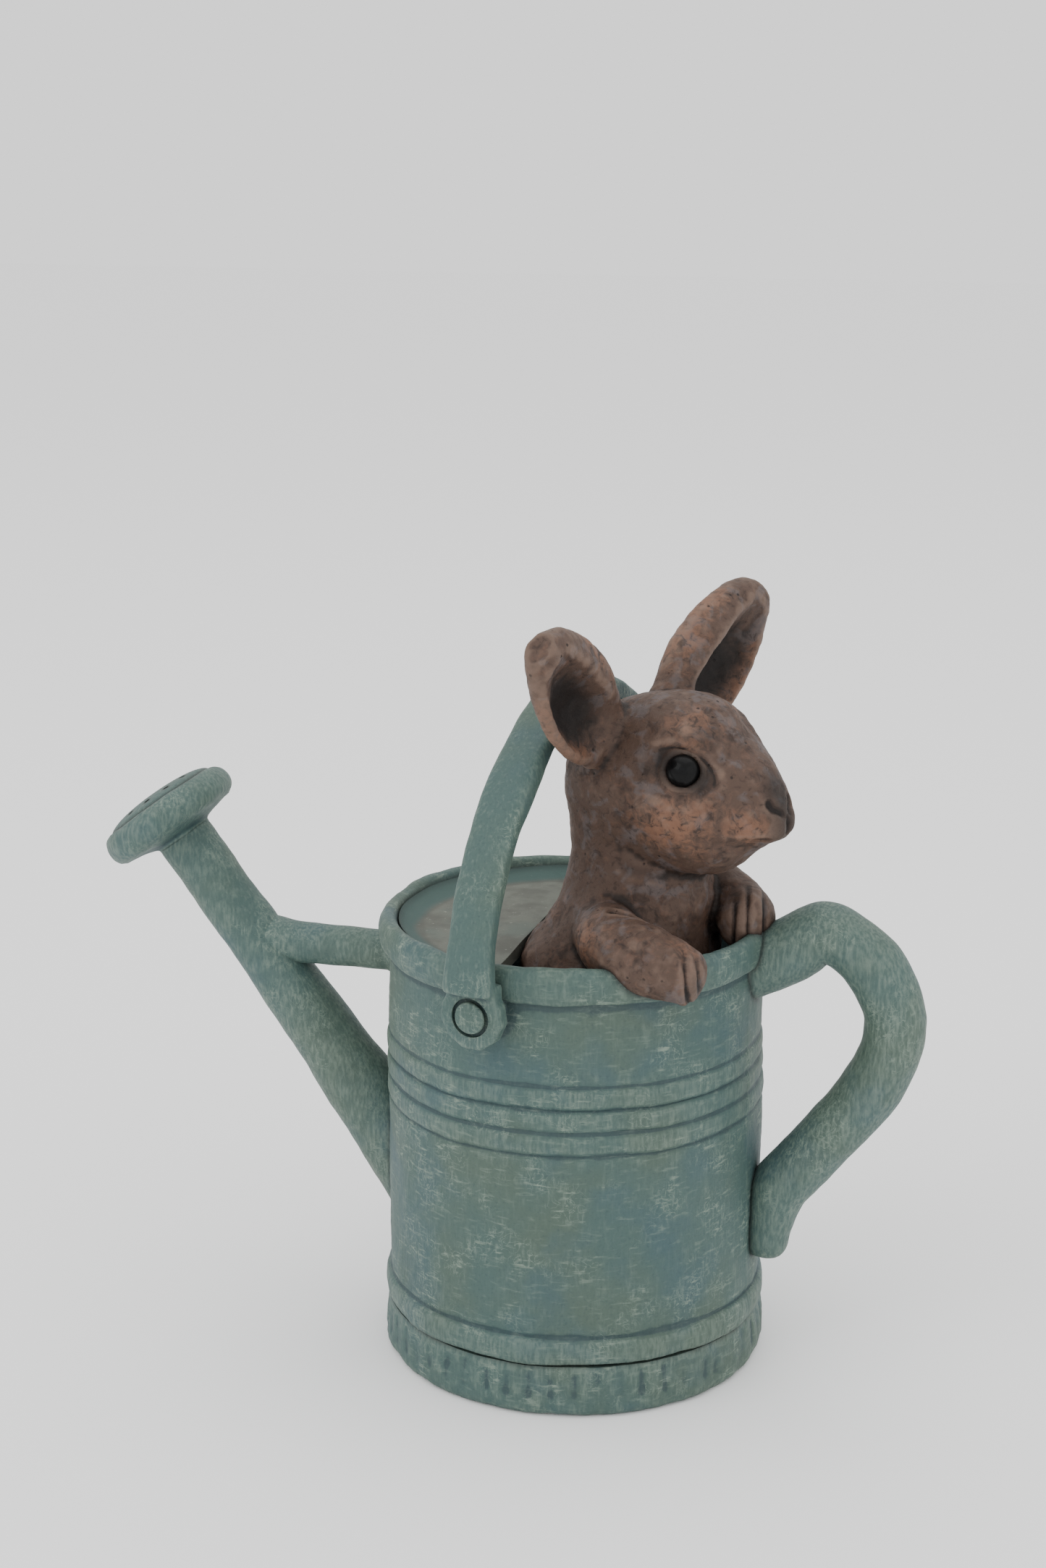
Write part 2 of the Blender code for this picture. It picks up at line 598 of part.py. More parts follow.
def pivot(side, name):
    """One rivet pin, and the boss, lug end and sockets that belong to it."""
    out = Vector((0, side, 0))
    centre = out * LUG_INNER
    lug_end = finish(cylinder(centre, out, LUG_R, LUG_THICKNESS, 20), name + "_lug", TEAL, 0.75, bail_frame)
    combine(bail, as_cutter(lug_end), "UNION")
    hole_r = PIN_R + GAP
    eye = cylinder(out * (LUG_INNER - 1 * MM), out, hole_r, LUG_THICKNESS + 2 * MM, TUBE_SIDES)
    combine(bail, as_cutter(finish(eye, name + "_eye", TEAL, 0.75, bail_frame)), "DIFFERENCE")
    recess = cylinder(
        out * (LUG_OUTER - PIN_RECESS), out, PIN_HEAD_R + 2 * GAP, PIN_RECESS + STRAP_THICKNESS, 20
    )
    combine(bail, as_cutter(finish(recess, name + "_recess", TEAL, 0.75, bail_frame)), "DIFFERENCE")

    boss_start = BORE_R + WALL * 0.4
    boss = cylinder(out * boss_start, out, BOSS_R, LUG_INNER - GAP - boss_start, 20)
    combine(can, as_cutter(finish(boss, name + "_boss", TEAL, 0.75, bail_frame)), "UNION")
    socket_floor = BORE_R + PIN_SOCKET_WALL
    socket = cylinder(out * socket_floor, out, PIN_R + GAP, LUG_INNER - socket_floor, TUBE_SIDES)
    combine(can, as_cutter(finish(socket, name + "_socket", TEAL, 0.75, bail_frame)), "DIFFERENCE")

    head_low = LUG_OUTER - PIN_RECESS + GAP
    head_top = head_low + PIN_HEAD_HEIGHT
    outline = [(0, socket_floor + GAP), (PIN_R, socket_floor + GAP), (PIN_R, head_low), (PIN_HEAD_R, head_low)]
    outline += [(PIN_HEAD_R, head_top - 0.3 * MM), (PIN_HEAD_R * 0.75, head_top), (0, head_top)]
    bm = turned(outline, TUBE_SIDES)
    turn = Vector((0, 0, 1)).rotation_difference(out).to_matrix()
    bmesh.ops.rotate(bm, verts=bm.verts, cent=(0, 0, 0), matrix=turn)
    return finish(bm, name, TEAL, 0.7, bail_frame)


bail = bail_strap()
pivot(-1, "bail_rivet_near")
pivot(1, "bail_rivet_far")


# ---- rabbit --------------------------------------------------------------------------
def rabbit_torso():
    """Seated body: hidden lower half on the pan's floor, shoulders and neck above the rim."""
    floor = FLOOR + GAP - CAN_HEIGHT
    belly_r = BORE_R - LEDGE - 6 * MM
    rows = [
        (floor, 3 * MM, belly_r * 0.55, belly_r * 0.55),
        (floor * 0.9, 3 * MM, belly_r * 0.8, belly_r * 0.8),
        (floor * 0.5, 4 * MM, belly_r * 0.9, belly_r * 0.95),
        (floor * 0.2, 8 * MM, 19 * MM, 21 * MM),
        (-7 * MM, BORE_R * 0.308, BORE_R * 0.509, BORE_R * 0.621),
        (0.5 * MM, BORE_R * 0.367, BORE_R * 0.435, BORE_R * 0.54),
        (5 * MM, 13.8 * MM, 14.2 * MM, 14.8 * MM),
        (9.5 * MM, 14.1 * MM, 13.4 * MM, 12.7 * MM),
        (14 * MM, 13.9 * MM, 12.8 * MM, 11.6 * MM),
        (19 * MM, 13 * MM, 12 * MM, 11 * MM),
        (24 * MM, 11.4 * MM, 10.4 * MM, 10 * MM),
        (28 * MM, 9.5 * MM, 8.5 * MM, 8.5 * MM),
    ]
    stations = [
        (Vector((forward, 0, up)), Vector((half_x, 0, 0)), Vector((0, half_y, 0)))
        for up, forward, half_x, half_y in rows
    ]
    return finish(skinned(stations, BODY_SIDES, 2.3), "rabbit_torso", BROWN, 0.8, rabbit_frame)


def head_stations(grow):
    """Sections from the nape to the nose, as shares of length, top, bottom and half width."""
    rows = [
        (0.0, 0.40, 0.62, 0.46), (0.034, 0.58, 0.84, 0.64), (0.10, 0.72, 0.93, 0.80),
        (0.21, 0.86, 0.97, 0.92), (0.35, 0.96, 0.99, 0.98), (0.48, 1.0, 1.0, 1.0),
        (0.60, 0.99, 0.97, 0.96), (0.70, 0.88, 0.89, 0.86), (0.79, 0.66, 0.76, 0.70),
        (0.87, 0.38, 0.65, 0.54), (0.94, 0.14, 0.55, 0.40), (0.983, -0.04, 0.45, 0.26),
        (1.0, -0.17, 0.34, 0.13),
    ]
    length = HEAD_LENGTH + 2 * grow
    stations = []
    for share, top, bottom, wide in rows:
        middle = HEAD_CENTRE_Z + HEAD_HALF_HEIGHT * (top - bottom) / 2
        centre = Vector((HEAD_BACK_X - grow + share * length, 0, middle))
        half_z = Vector((0, 0, HEAD_HALF_HEIGHT * (top + bottom) / 2 + grow))
        half_y = Vector((0, HEAD_HALF_WIDTH * wide + grow, 0))
        stations.append((centre, half_z, half_y))
    return stations


def rabbit_head(name, grow):
    return finish(skinned(head_stations(grow), BODY_SIDES), name, BROWN, 0.8, rabbit_frame)


def on_head(shares, side):
    """A place on the head from shares of its length, half width and half height."""
    return Vector((
        HEAD_BACK_X + shares[0] * HEAD_LENGTH,
        side * shares[1] * HEAD_HALF_WIDTH,
        HEAD_CENTRE_Z + shares[2] * HEAD_HALF_HEIGHT,
    ))


def rabbit_ear(side, name):
    """Thick leaf from the crown outwards, scooped on its front."""
    back = EAR_STAGGER if side < 0 else 0.0
    root = on_head(EAR_ROOT, side) - Vector((back, 0, 0))
    along = Vector((EAR_ALONG[0], side * EAR_ALONG[1], EAR_ALONG[2])).normalized()
    front = Vector((1, 0, 0))
    front = (front - along * front.dot(along)).normalized()
    wide = along.cross(front).normalized()
    stations = []
    hollow = []
    for step in range(11):
        share = step / 10
        fullness = sin(pi * (0.16 + 0.79 * share)) ** 0.62
        centre = root + along * (EAR_LENGTH * share)
        half_w = wide * (EAR_WIDTH / 2 * fullness)
        half_t = front * (EAR_THICKNESS / 2 * (0.5 + 0.5 * fullness))
        stations.append((centre, half_w, half_t))
        if 1 <= step <= 9:
            scoop = sin(pi * (0.04 + 0.92 * (step - 1) / 8)) ** 0.7
            lip = centre + front * (EAR_THICKNESS / 2 + 0.6 * MM)
            hollow.append((lip, half_w * (0.72 * scoop), front * (EAR_HOLLOW * scoop)))
    ear = finish(skinned(stations, TUBE_SIDES), name, BROWN, 0.8, rabbit_frame)
    scooped = as_cutter(finish(skinned(hollow, 12), name + "_scoop", BROWN, 0.8, rabbit_frame))
    combine(ear, scooped, "DIFFERENCE")
    combine(ear, around_head, "DIFFERENCE")
    return ear


def rabbit_eye(side, name):
    """Glass-like half ball set in a socket of the head."""
    place = on_head(EYE_PLACE, side)
    out = Vector((EYE_OUT[0], side * EYE_OUT[1], EYE_OUT[2])).normalized()
    socket = bmesh.new()
    bmesh.ops.create_icosphere(socket, subdivisions=2, radius=EYE_R + GAP)
    bmesh.ops.translate(socket, verts=socket.verts, vec=place - out * EYE_SUNK)
    socket = as_cutter(finish(socket, name + "_socket", BROWN, 0.8, rabbit_frame))
    combine(head, socket, "DIFFERENCE")
    ball = bmesh.new()
    bmesh.ops.create_icosphere(ball, subdivisions=2, radius=EYE_R)
    bmesh.ops.translate(ball, verts=ball.verts, vec=place - out * EYE_SUNK)
    return finish(ball, name, BLACK, 0.12, rabbit_frame)


def foreleg(name, route, radii):
    """Leg from the shoulder over the rim, trimmed to the torso, the rim and the handle."""
    points = smooth_path([Vector(point) for point in route], 3)
    sizes = []
    for index in range(len(points)):
        place = index / 3
        low = min(int(place), len(radii) - 2)
        sizes.append(radii[low] + (radii[low + 1] - radii[low]) * (place - low))
    tip = points[-1]
    along = (points[-1] - points[-2]).normalized()
    for angle in (radians(30), radians(60)):
        points.append(tip + along * (sizes[-1] * sin(angle)))
    sizes += [radii[-1] * cos(radians(30)), radii[-1] * cos(radians(60))]
    leg = finish(swept(points, sizes, TUBE_SIDES, Vector((0, 0, 1))), name, BROWN, 0.8, rabbit_frame)
    combine(leg, around_torso, "DIFFERENCE")
    combine(leg, around_wall, "DIFFERENCE")
    combine(leg, around_handle, "DIFFERENCE")
    return leg


torso = rabbit_torso()
head = rabbit_head("rabbit_head", 0.0)
around_head = as_cutter(rabbit_head("head_cutter", GAP))
around_torso = as_cutter(rabbit_torso())
around_torso.name = "torso_cutter"
around_torso.data.name = "torso_cutter"
swell = around_torso.modifiers.new("gap", "DISPLACE")
swell.strength = GAP * 1.15
swell.mid_level = 0.0
combine(torso, around_wall, "DIFFERENCE")
combine(torso, around_hood, "DIFFERENCE")
combine(torso, around_head, "DIFFERENCE")
rabbit_ear(1, "rabbit_left_ear")
rabbit_ear(-1, "rabbit_right_ear")
rabbit_eye(1, "rabbit_left_eye")
rabbit_eye(-1, "rabbit_right_eye")


def by_rim(outside, turn, up):
    """A place so far outside the can's wall, round to one side, above the rim."""
    radius = CAN_R + outside
    return radius * cos(radians(turn)), radius * sin(radians(turn)), up


near_route = [
    (13 * MM, -11 * MM, 3.2 * MM),
    (20 * MM, -18.8 * MM, 2.2 * MM),
    by_rim(0.0, -36.5, 1.5 * MM),
    by_rim(6.0 * MM, -28.5, -1.0 * MM),
]
foreleg("rabbit_right_foreleg", near_route, [ARM_R, ARM_R, ARM_R, PAW_R * 0.94])
far_route = [
    (10 * MM, 13 * MM, 5 * MM),
    (18 * MM, 14 * MM, 4.6 * MM),
    by_rim(-7.0 * MM, 25.5, 3.4 * MM),
    by_rim(-3.0 * MM, 15.5, 1.7 * MM),
]
foreleg("rabbit_left_foreleg", far_route, [ARM_R, ARM_R, PAW_R, PAW_R * 1.05])
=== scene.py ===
"""A cast garden ornament: a young rabbit looks out of a watering can.

Metres, with +Z up. The origin is on the can's axis, on the face it stands on; +X runs to
the rear handle and -X to the spout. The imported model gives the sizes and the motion, and
this script makes the surfaces that are seen.
"""
from math import atan2, cos, pi, radians, sin, sqrt

import bmesh
import bpy
import numpy as np
from mathutils import Matrix, Vector, noise
from mathutils.bvhtree import BVHTree


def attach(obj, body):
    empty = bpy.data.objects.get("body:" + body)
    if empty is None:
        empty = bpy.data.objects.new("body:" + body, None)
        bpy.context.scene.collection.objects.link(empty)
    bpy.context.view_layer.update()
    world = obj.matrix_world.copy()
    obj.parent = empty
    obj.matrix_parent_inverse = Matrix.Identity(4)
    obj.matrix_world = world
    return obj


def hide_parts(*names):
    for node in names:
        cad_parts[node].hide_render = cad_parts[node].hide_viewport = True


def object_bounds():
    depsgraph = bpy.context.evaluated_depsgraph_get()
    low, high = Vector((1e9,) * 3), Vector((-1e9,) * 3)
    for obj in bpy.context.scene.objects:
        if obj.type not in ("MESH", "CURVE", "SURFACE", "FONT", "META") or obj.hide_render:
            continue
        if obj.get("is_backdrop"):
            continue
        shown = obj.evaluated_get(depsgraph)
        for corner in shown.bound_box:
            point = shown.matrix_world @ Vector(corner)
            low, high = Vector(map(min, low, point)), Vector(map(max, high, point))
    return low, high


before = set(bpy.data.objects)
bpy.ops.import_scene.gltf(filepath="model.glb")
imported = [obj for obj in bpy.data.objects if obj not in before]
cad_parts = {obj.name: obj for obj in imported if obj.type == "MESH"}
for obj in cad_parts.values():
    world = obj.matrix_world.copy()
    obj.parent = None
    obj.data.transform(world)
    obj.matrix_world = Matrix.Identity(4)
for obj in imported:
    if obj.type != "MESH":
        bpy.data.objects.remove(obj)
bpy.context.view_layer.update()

# ---- Base pan ------------------------------------------------------------------------
# The fluted foot and the floor of the can, one shallow casting under the drum. The flutes
# of its master were pressed into clay by hand, so no two are alike.
MM = 0.001
FOOT_R = 37.1 * MM
FOOT_HEIGHT = 10.0 * MM
FOOT_EDGE = 2.0 * MM          # rounding of the edge it stands on
FLOOR = 3.0 * MM
DRUM_LOW = 10.1 * MM          # the drum's lower edge
BORE_R = 33.8 * MM
RING_OUT = BORE_R - 0.3 * MM  # the pan's ring inside the drum
RING_IN = RING_OUT - 1.2 * MM
RING_TOP = 13.0 * MM
FLUTES = 53
FLUTE_WIDTH = 0.85 * MM
FLUTE_DEPTH = 0.34 * MM
FLUTE_ENDS = (2.4 * MM, 4.4 * MM, 8.7 * MM, 9.6 * MM)   # where they fade in and out
FOOT_DRAFT = 0.7 * MM         # how far the foot leans in at its top
PAN_STEPS = 420


def turned(outline, steps, closed):
    """Spin an outline of (radius, height) points about Z."""
    bm = bmesh.new()
    corners = [bm.verts.new((radius, 0.0, height)) for radius, height in outline]
    follows = corners[1:] + corners[:1] if closed else corners[1:]
    edges = [bm.edges.new(ends) for ends in zip(corners, follows)]
    bmesh.ops.spin(
        bm, geom=corners + edges, cent=(0, 0, 0), axis=(0, 0, 1), angle=2 * pi, steps=steps, use_merge=True
    )
    bmesh.ops.remove_doubles(bm, verts=bm.verts, dist=1e-6)
    bmesh.ops.recalc_face_normals(bm, faces=bm.faces)
    return bm


def rise(low, high, values):
    """0 below low, 1 above high, and smooth between them."""
    share = np.clip((values - low) / (high - low), 0.0, 1.0)
    return share * share * (3 - 2 * share)


def swell(values, middle, width):
    """1 at the middle, falling off smoothly on both sides."""
    return np.exp(-(((values - middle) / width) ** 2))


class Clay:
    """A piece under the modelling tools: its points, their neighbours and painted masks."""

    def __init__(self, bm, name):
        self.mesh = bpy.data.meshes.new(name)
        bm.to_mesh(self.mesh)
        bm.free()
        self.mesh.shade_smooth()
        self.points = np.empty(len(self.mesh.vertices) * 3)
        self.mesh.vertices.foreach_get("co", self.points)
        self.points = self.points.reshape(-1, 3)
        self.ends = np.empty(len(self.mesh.edges) * 2, dtype=np.int64)
        self.mesh.edges.foreach_get("vertices", self.ends)
        self.ends = self.ends.reshape(-1, 2)
        # The dark mask holds dark paint and painted shade in hollows, creases and where pieces meet.
        self.masks = {"dark_paint_and_shade": np.zeros(len(self.points)), "warm": np.zeros(len(self.points))}

    def normals(self):
        self.mesh.vertices.foreach_set("co", self.points.ravel())
        self.mesh.update()
        outward = np.empty(self.points.size)
        self.mesh.vertex_normals.foreach_get("vector", outward)
        return outward.reshape(-1, 3)

    def averaged(self, values, rounds):
        """Values mixed with their neighbours' a number of times."""
        first, second = self.ends.T
        size = len(values)
        links = np.bincount(self.ends.ravel(), minlength=size)
        for _ in range(rounds):
            around = np.stack([
                np.bincount(first, column[second], size) + np.bincount(second, column[first], size)
                for column in values.T
            ], axis=1)
            values = (values + around / links[:, None]) / 2
        return values

    def smooth(self, weight, rounds):
        self.points += (self.averaged(self.points, rounds) - self.points) * weight[:, None]

    def placed(self, matrix):
        """Carry the piece from the frame it was made in to its place on the can."""
        self.points = self.points @ np.array(matrix.to_3x3()).T + np.array(matrix.translation)

    def near(self, place, reach):
        """A soft round brush: 1 at the place, 0 from its reach on."""
        far = ((self.points - np.array(place)) ** 2).sum(axis=1) / reach**2
        return np.clip(1 - far, 0, 1) ** 2

    def along(self, route, reach):
        """The same brush drawn along a route."""
        best = np.zeros(len(self.points))
        for start, end in zip(route, route[1:]):
            start = np.array(start)
            step = np.array(end) - start
            share = np.clip((self.points - start) @ step / (step @ step), 0, 1)
            far = ((self.points - start - share[:, None] * step) ** 2).sum(axis=1) / reach**2
            best = np.maximum(best, np.clip(1 - far, 0, 1) ** 2)
        return best

    def push(self, weight, distance):
        self.points += self.normals() * (weight * distance)[:, None]

    def waves(self, size, seed=0, stretch=(1, 1, 1)):
        """A wavy value from -1 to 1 at each point."""
        shift = Vector((seed * 7.3, seed * 3.1, seed * 5.7))
        scaled = self.points / size * np.array(stretch)
        return np.array([noise.noise(Vector(point) + shift) for point in scaled])

    def lumps(self, size, height, seed, stretch=(1, 1, 1)):
        """The uneven surface that hands leave, as a wavy push along the normals."""
        self.push(self.waves(size, seed, stretch), height)

    def paint(self, mask, weight):
        self.masks[mask] = np.maximum(self.masks[mask], weight)


def masked(clay, rounds=24, height=0.16 * MM):
    """Close the modelling: measure what stands out and what lies low, and keep the masks."""
    outward = clay.normals()
    proud = ((clay.points - clay.averaged(clay.points, rounds)) * outward).sum(axis=1)
    clay.masks["relief"] = np.clip(proud / height, -1, 1)
    for name, values in clay.masks.items():
        layer = clay.mesh.attributes.new(name, "FLOAT", "POINT")
        layer.data.foreach_set("value", values.astype(np.float32))
    return clay.mesh


castings = []


def set_down(mesh, body, slot, finish, *nodes, cast=None):
    """Make the mesh a piece and fit it to the frame; cast names a group made as one."""
    mesh.set_sharp_from_angle(angle=radians(50))
    mesh.materials.append(finish)
    piece = bpy.data.objects.new(mesh.name, mesh)
    bpy.context.collection.objects.link(piece)
    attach(piece, body)
    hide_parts(*nodes)
    castings.append((piece, cast or mesh.name))


class Wire:
    """A value on its way through a finish. Arithmetic on it adds the Math nodes."""

    def __init__(self, finish, socket):
        self.finish = finish
        self.socket = socket

    def maths(self, operation, first, second=0.0):
        return self.finish.node("ShaderNodeMath", {"operation": operation}, {0: first, 1: second})

    def __add__(self, other):
        return self.maths("ADD", self, other)

    def __sub__(self, other):
        return self.maths("SUBTRACT", self, other)

    def __rsub__(self, other):
        return self.maths("SUBTRACT", other, self)

    def __mul__(self, other):
        return self.maths("MULTIPLY", self, other)

    def __abs__(self):
        return self.maths("ABSOLUTE", self)

    __radd__ = __add__
    __rmul__ = __mul__

    def rise(self, low, high):
        """0 below low, 1 above high, and smooth between them."""
        ends = {0: self, 1: low, 2: high, 3: 0.0, 4: 1.0}
        return self.finish.node("ShaderNodeMapRange", {"interpolation_type": "SMOOTHSTEP"}, ends)


class Finish:
    """A painted finish. node() adds any node, and the others are the brushes."""

    def __init__(self, name):
        self.material = bpy.data.materials.new(name)
        self.material.use_nodes = True
        self.tree = self.material.node_tree
        self.shader = self.tree.nodes["Principled BSDF"]
        self.place = self.node("ShaderNodeTexCoord", {}, {}, "Object")

    def node(self, kind, settings, sockets, output=0):
        node = self.tree.nodes.new(kind)
        for key, value in settings.items():
            setattr(node, key, value)
        for key, value in sockets.items():
            self.join(value, node.inputs[key])
        return Wire(self, node.outputs[output])

    def join(self, value, socket):
        if isinstance(value, Wire):
            self.tree.links.new(value.socket, socket)
        else:
            socket.default_value = value

    def stretched(self, stretch):
        """The piece's own coordinates, drawn out along the axes that are under 1."""
        return self.node("ShaderNodeVectorMath", {"operation": "MULTIPLY"}, {0: self.place, 1: stretch})

    def cloud(self, size, place=None, detail=3.0, roughness=0.55, swirl=0.0):
        sockets = {
            "Vector": place or self.place, "Scale": 1 / size, "Detail": detail,
            "Roughness": roughness, "Distortion": swirl,
        }
        return self.node("ShaderNodeTexNoise", {}, sockets)

    def mask(self, name):
        return self.node("ShaderNodeAttribute", {"attribute_name": name}, {}, "Fac")

    def mixed(self, under, over, share):
        """Two colours, which go in at the Mix node's sockets 6 and 7 and come out at 2."""
        sides = {"Factor": share, 6: under, 7: over}
        return self.node("ShaderNodeMix", {"data_type": "RGBA"}, sides, 2)

    def dented(self, height, depth, strength):
        sockets = {"Height": height, "Distance": depth, "Strength": strength}
        return self.node("ShaderNodeBump", {}, sockets)


def chip(red, green, blue):
    """A colour as a paint chart gives it, from 0 to 255, made linear."""
    return (*[((value / 255 + 0.055) / 1.055) ** 2.4 for value in (red, green, blue)], 1.0)


TEAL = chip(60, 84, 80)
SEA_BLUE = chip(52, 79, 85)
SAGE = chip(70, 86, 73)
CHALK = chip(124, 140, 126)
DEEP = chip(26, 48, 56)
# the colour of painted shade where pieces meet and in the pinholes
PAINTED_SHADE = chip(22, 28, 28)


def can_paint(name, round_strokes):
    """Matt verdigris, dry-brushed along the piece and, on round walls, round it, with painted shade in the
    low places.
    """
    paint = Finish(name)
    upright = paint.stretched((1.0, 1.0, 0.2))
    level = paint.stretched((0.22, 0.22, 1.0))
    relief = paint.mask("relief")
    bristles = paint.cloud(0.55 * MM, upright, detail=4.0)
    scuffs = paint.cloud(0.7 * MM, level, detail=3.0, swirl=0.5)
    wisps = paint.cloud(2.6 * MM, swirl=1.6, detail=2.0)
    threads = (1 - abs(wisps - 0.5) * 30).rise(0.1, 1.0)
    worn = paint.cloud(9 * MM, detail=3.0).rise(0.45, 0.66)
    colour = paint.mixed(TEAL, SAGE, paint.cloud(24 * MM).rise(0.4, 0.66) * 0.7)
    colour = paint.mixed(colour, SEA_BLUE, paint.cloud(16 * MM).rise(0.48, 0.7) * 0.6)
    drag = worn * 0.35 + 0.24 - round_strokes * 0.16
    colour = paint.mixed(colour, CHALK, bristles.rise(0.5, 0.78) * drag)
    colour = paint.mixed(colour, CHALK, scuffs.rise(0.54, 0.72) * (worn * 0.6 + 0.22) * round_strokes)
    colour = paint.mixed(colour, CHALK, threads * worn * 0.5)
    colour = paint.mixed(colour, DEEP, paint.cloud(0.5 * MM).rise(0.5, 0.8) * 0.4)
    colour = paint.mixed(colour, CHALK, relief.rise(0.2, 0.95) * (bristles.rise(0.35, 0.6) * 0.22 + 0.02))
    # painted shade in the low places of the surface
    colour = paint.mixed(colour, DEEP, (0 - relief).rise(0.08, 0.8) * 0.6)
    # painted shade where other pieces meet this one, and in the pinholes
    colour = paint.mixed(colour, PAINTED_SHADE, paint.mask("dark_paint_and_shade") * 0.85)
    paint.join(colour, paint.shader.inputs["Base Color"])
    paint.join(0.74 - bristles * 0.2, paint.shader.inputs["Roughness"])
    surface = bristles * 0.5 + scuffs * 0.4 + wisps * 0.4 + paint.cloud(0.35 * MM) * 0.4
    paint.join(paint.dented(surface, 0.22 * MM, 0.7), paint.shader.inputs["Normal"])
    return paint.material


CAN_PAINT = can_paint("can_paint", 1.0)
BAR_PAINT = can_paint("bar_paint", 0.12)   # spout, rose and handles


def base_pan():
    """Outline of foot, ring and floor, then the flutes round the foot."""
    outline = [(0, 0), (FOOT_R * 0.5, 0), (FOOT_R - 2 * FOOT_EDGE, 0)]
    outline += [
        (FOOT_R - FOOT_EDGE * (1 - sin(a)), FOOT_EDGE * (1 - cos(a)))
        for a in [radians(6 * step) for step in range(16)]
    ]
    rows = 24
    for row in range(rows + 1):
        share = row / rows
        outline.append((FOOT_R - FOOT_DRAFT * share**3, FOOT_EDGE + (FOOT_HEIGHT - FOOT_EDGE) * share))
    outline += [(RING_OUT, FOOT_HEIGHT), (RING_OUT, RING_TOP), (RING_IN, RING_TOP)]
    outline += [(RING_IN, FLOOR), (0, FLOOR)]
    clay = Clay(turned(outline, PAN_STEPS, closed=False), "base_pan")
    pitch = 2 * pi / FLUTES
    cuts = np.array([
        pitch * (step + 0.3 * noise.noise(Vector((step * 1.7, 0, 0)))) for step in range(-1, FLUTES + 2)
    ])
    turn = np.arctan2(clay.points[:, 1], clay.points[:, 0]) % (2 * pi)
    nearest = np.abs(turn[:, None] - cuts[None, :]).min(axis=1) * FOOT_R
    height = clay.points[:, 2]
    outside = np.hypot(clay.points[:, 0], clay.points[:, 1]) > RING_OUT + 1 * MM
    band = rise(*FLUTE_ENDS[:2], height) * (1 - rise(*FLUTE_ENDS[2:], height)) * outside
    depth = 0.8 + 0.9 * clay.waves(6.25 * MM)
    clay.push(band * depth * swell(nearest, 0, FLUTE_WIDTH), -FLUTE_DEPTH)
    clay.lumps(5 * MM, 0.3 * MM, 1)
    clay.lumps(1.6 * MM, 0.14 * MM, 2)
    clay.points[:, 2] = np.maximum(clay.points[:, 2], 0)
    return clay


set_down(masked(base_pan()), "can", "can_paint", CAN_PAINT, "base_pan")

# ---- Drum ----------------------------------------------------------------------------
# The can's side wall: a hollow casting with a plain bead above the foot, three shallow
# ribs between scored lines, a rolled rim and a boss for each pivot of the handle.
CAN_R = 36.0 * MM
CAN_HEIGHT = 87.5 * MM
WALL_TAPER = 0.35 * MM
BEAD_HEIGHT = 5.6 * MM
BEAD_BULGE = 1.0 * MM
RIB_LOW = 51.5 * MM
RIB_PITCH = 4.45 * MM
RIB_RISE = 0.3 * MM
GROOVE_DEPTH = 0.34 * MM
GROOVE_WIDTH = 0.42 * MM
RIM_HEIGHT = 7.1 * MM
RIM_R = 37.8 * MM
LEDGE_TOP = 81.2 * MM         # shelf inside that carries the hood
LEDGE = 1.6 * MM
BAIL_TURN = radians(-12)
PIVOT_Z = 78.5 * MM
BOSS_R = 4.4 * MM
BOSS_REACH = 37.9 * MM
WALL_ROWS = 165
RIM_STEPS = 50
RIM_START = -62               # degrees round the rim's roll, from its lower outer corner
RIM_SWEEP = 242
RIM_SQUARENESS = 0.92         # 1 is an ellipse
CAST_SEAM = radians(-10)      # the low mould line down the wall
SEAM_WIDTH = 0.5 * MM
SEAM_RISE = 0.12 * MM


def drum_radius(height):
    """Outside of the wall under the rim."""
    radius = CAN_R + WALL_TAPER * (1 - height / (CAN_HEIGHT / 2))
    bead = (height - DRUM_LOW - BEAD_HEIGHT / 2) / (BEAD_HEIGHT / 2)
    if abs(bead) < 1:
        radius += BEAD_BULGE * (1 - bead**2) ** 0.5
    for index in range(3):
        middle = RIB_LOW + RIB_PITCH * (index + 0.5)
        across = abs(height - middle) / (RIB_PITCH / 2)
        if across < 1:
            radius += RIB_RISE * (1 - across**3)
    for groove in [DRUM_LOW + BEAD_HEIGHT] + [RIB_LOW + RIB_PITCH * index for index in range(4)]:
        radius -= GROOVE_DEPTH * swell(height, groove, GROOVE_WIDTH)
    return radius


def signed_power(value, power):
    """A sine or cosine raised to a power, with its sign kept."""
    return abs(value) ** power * (1 if value > 0 else -1)


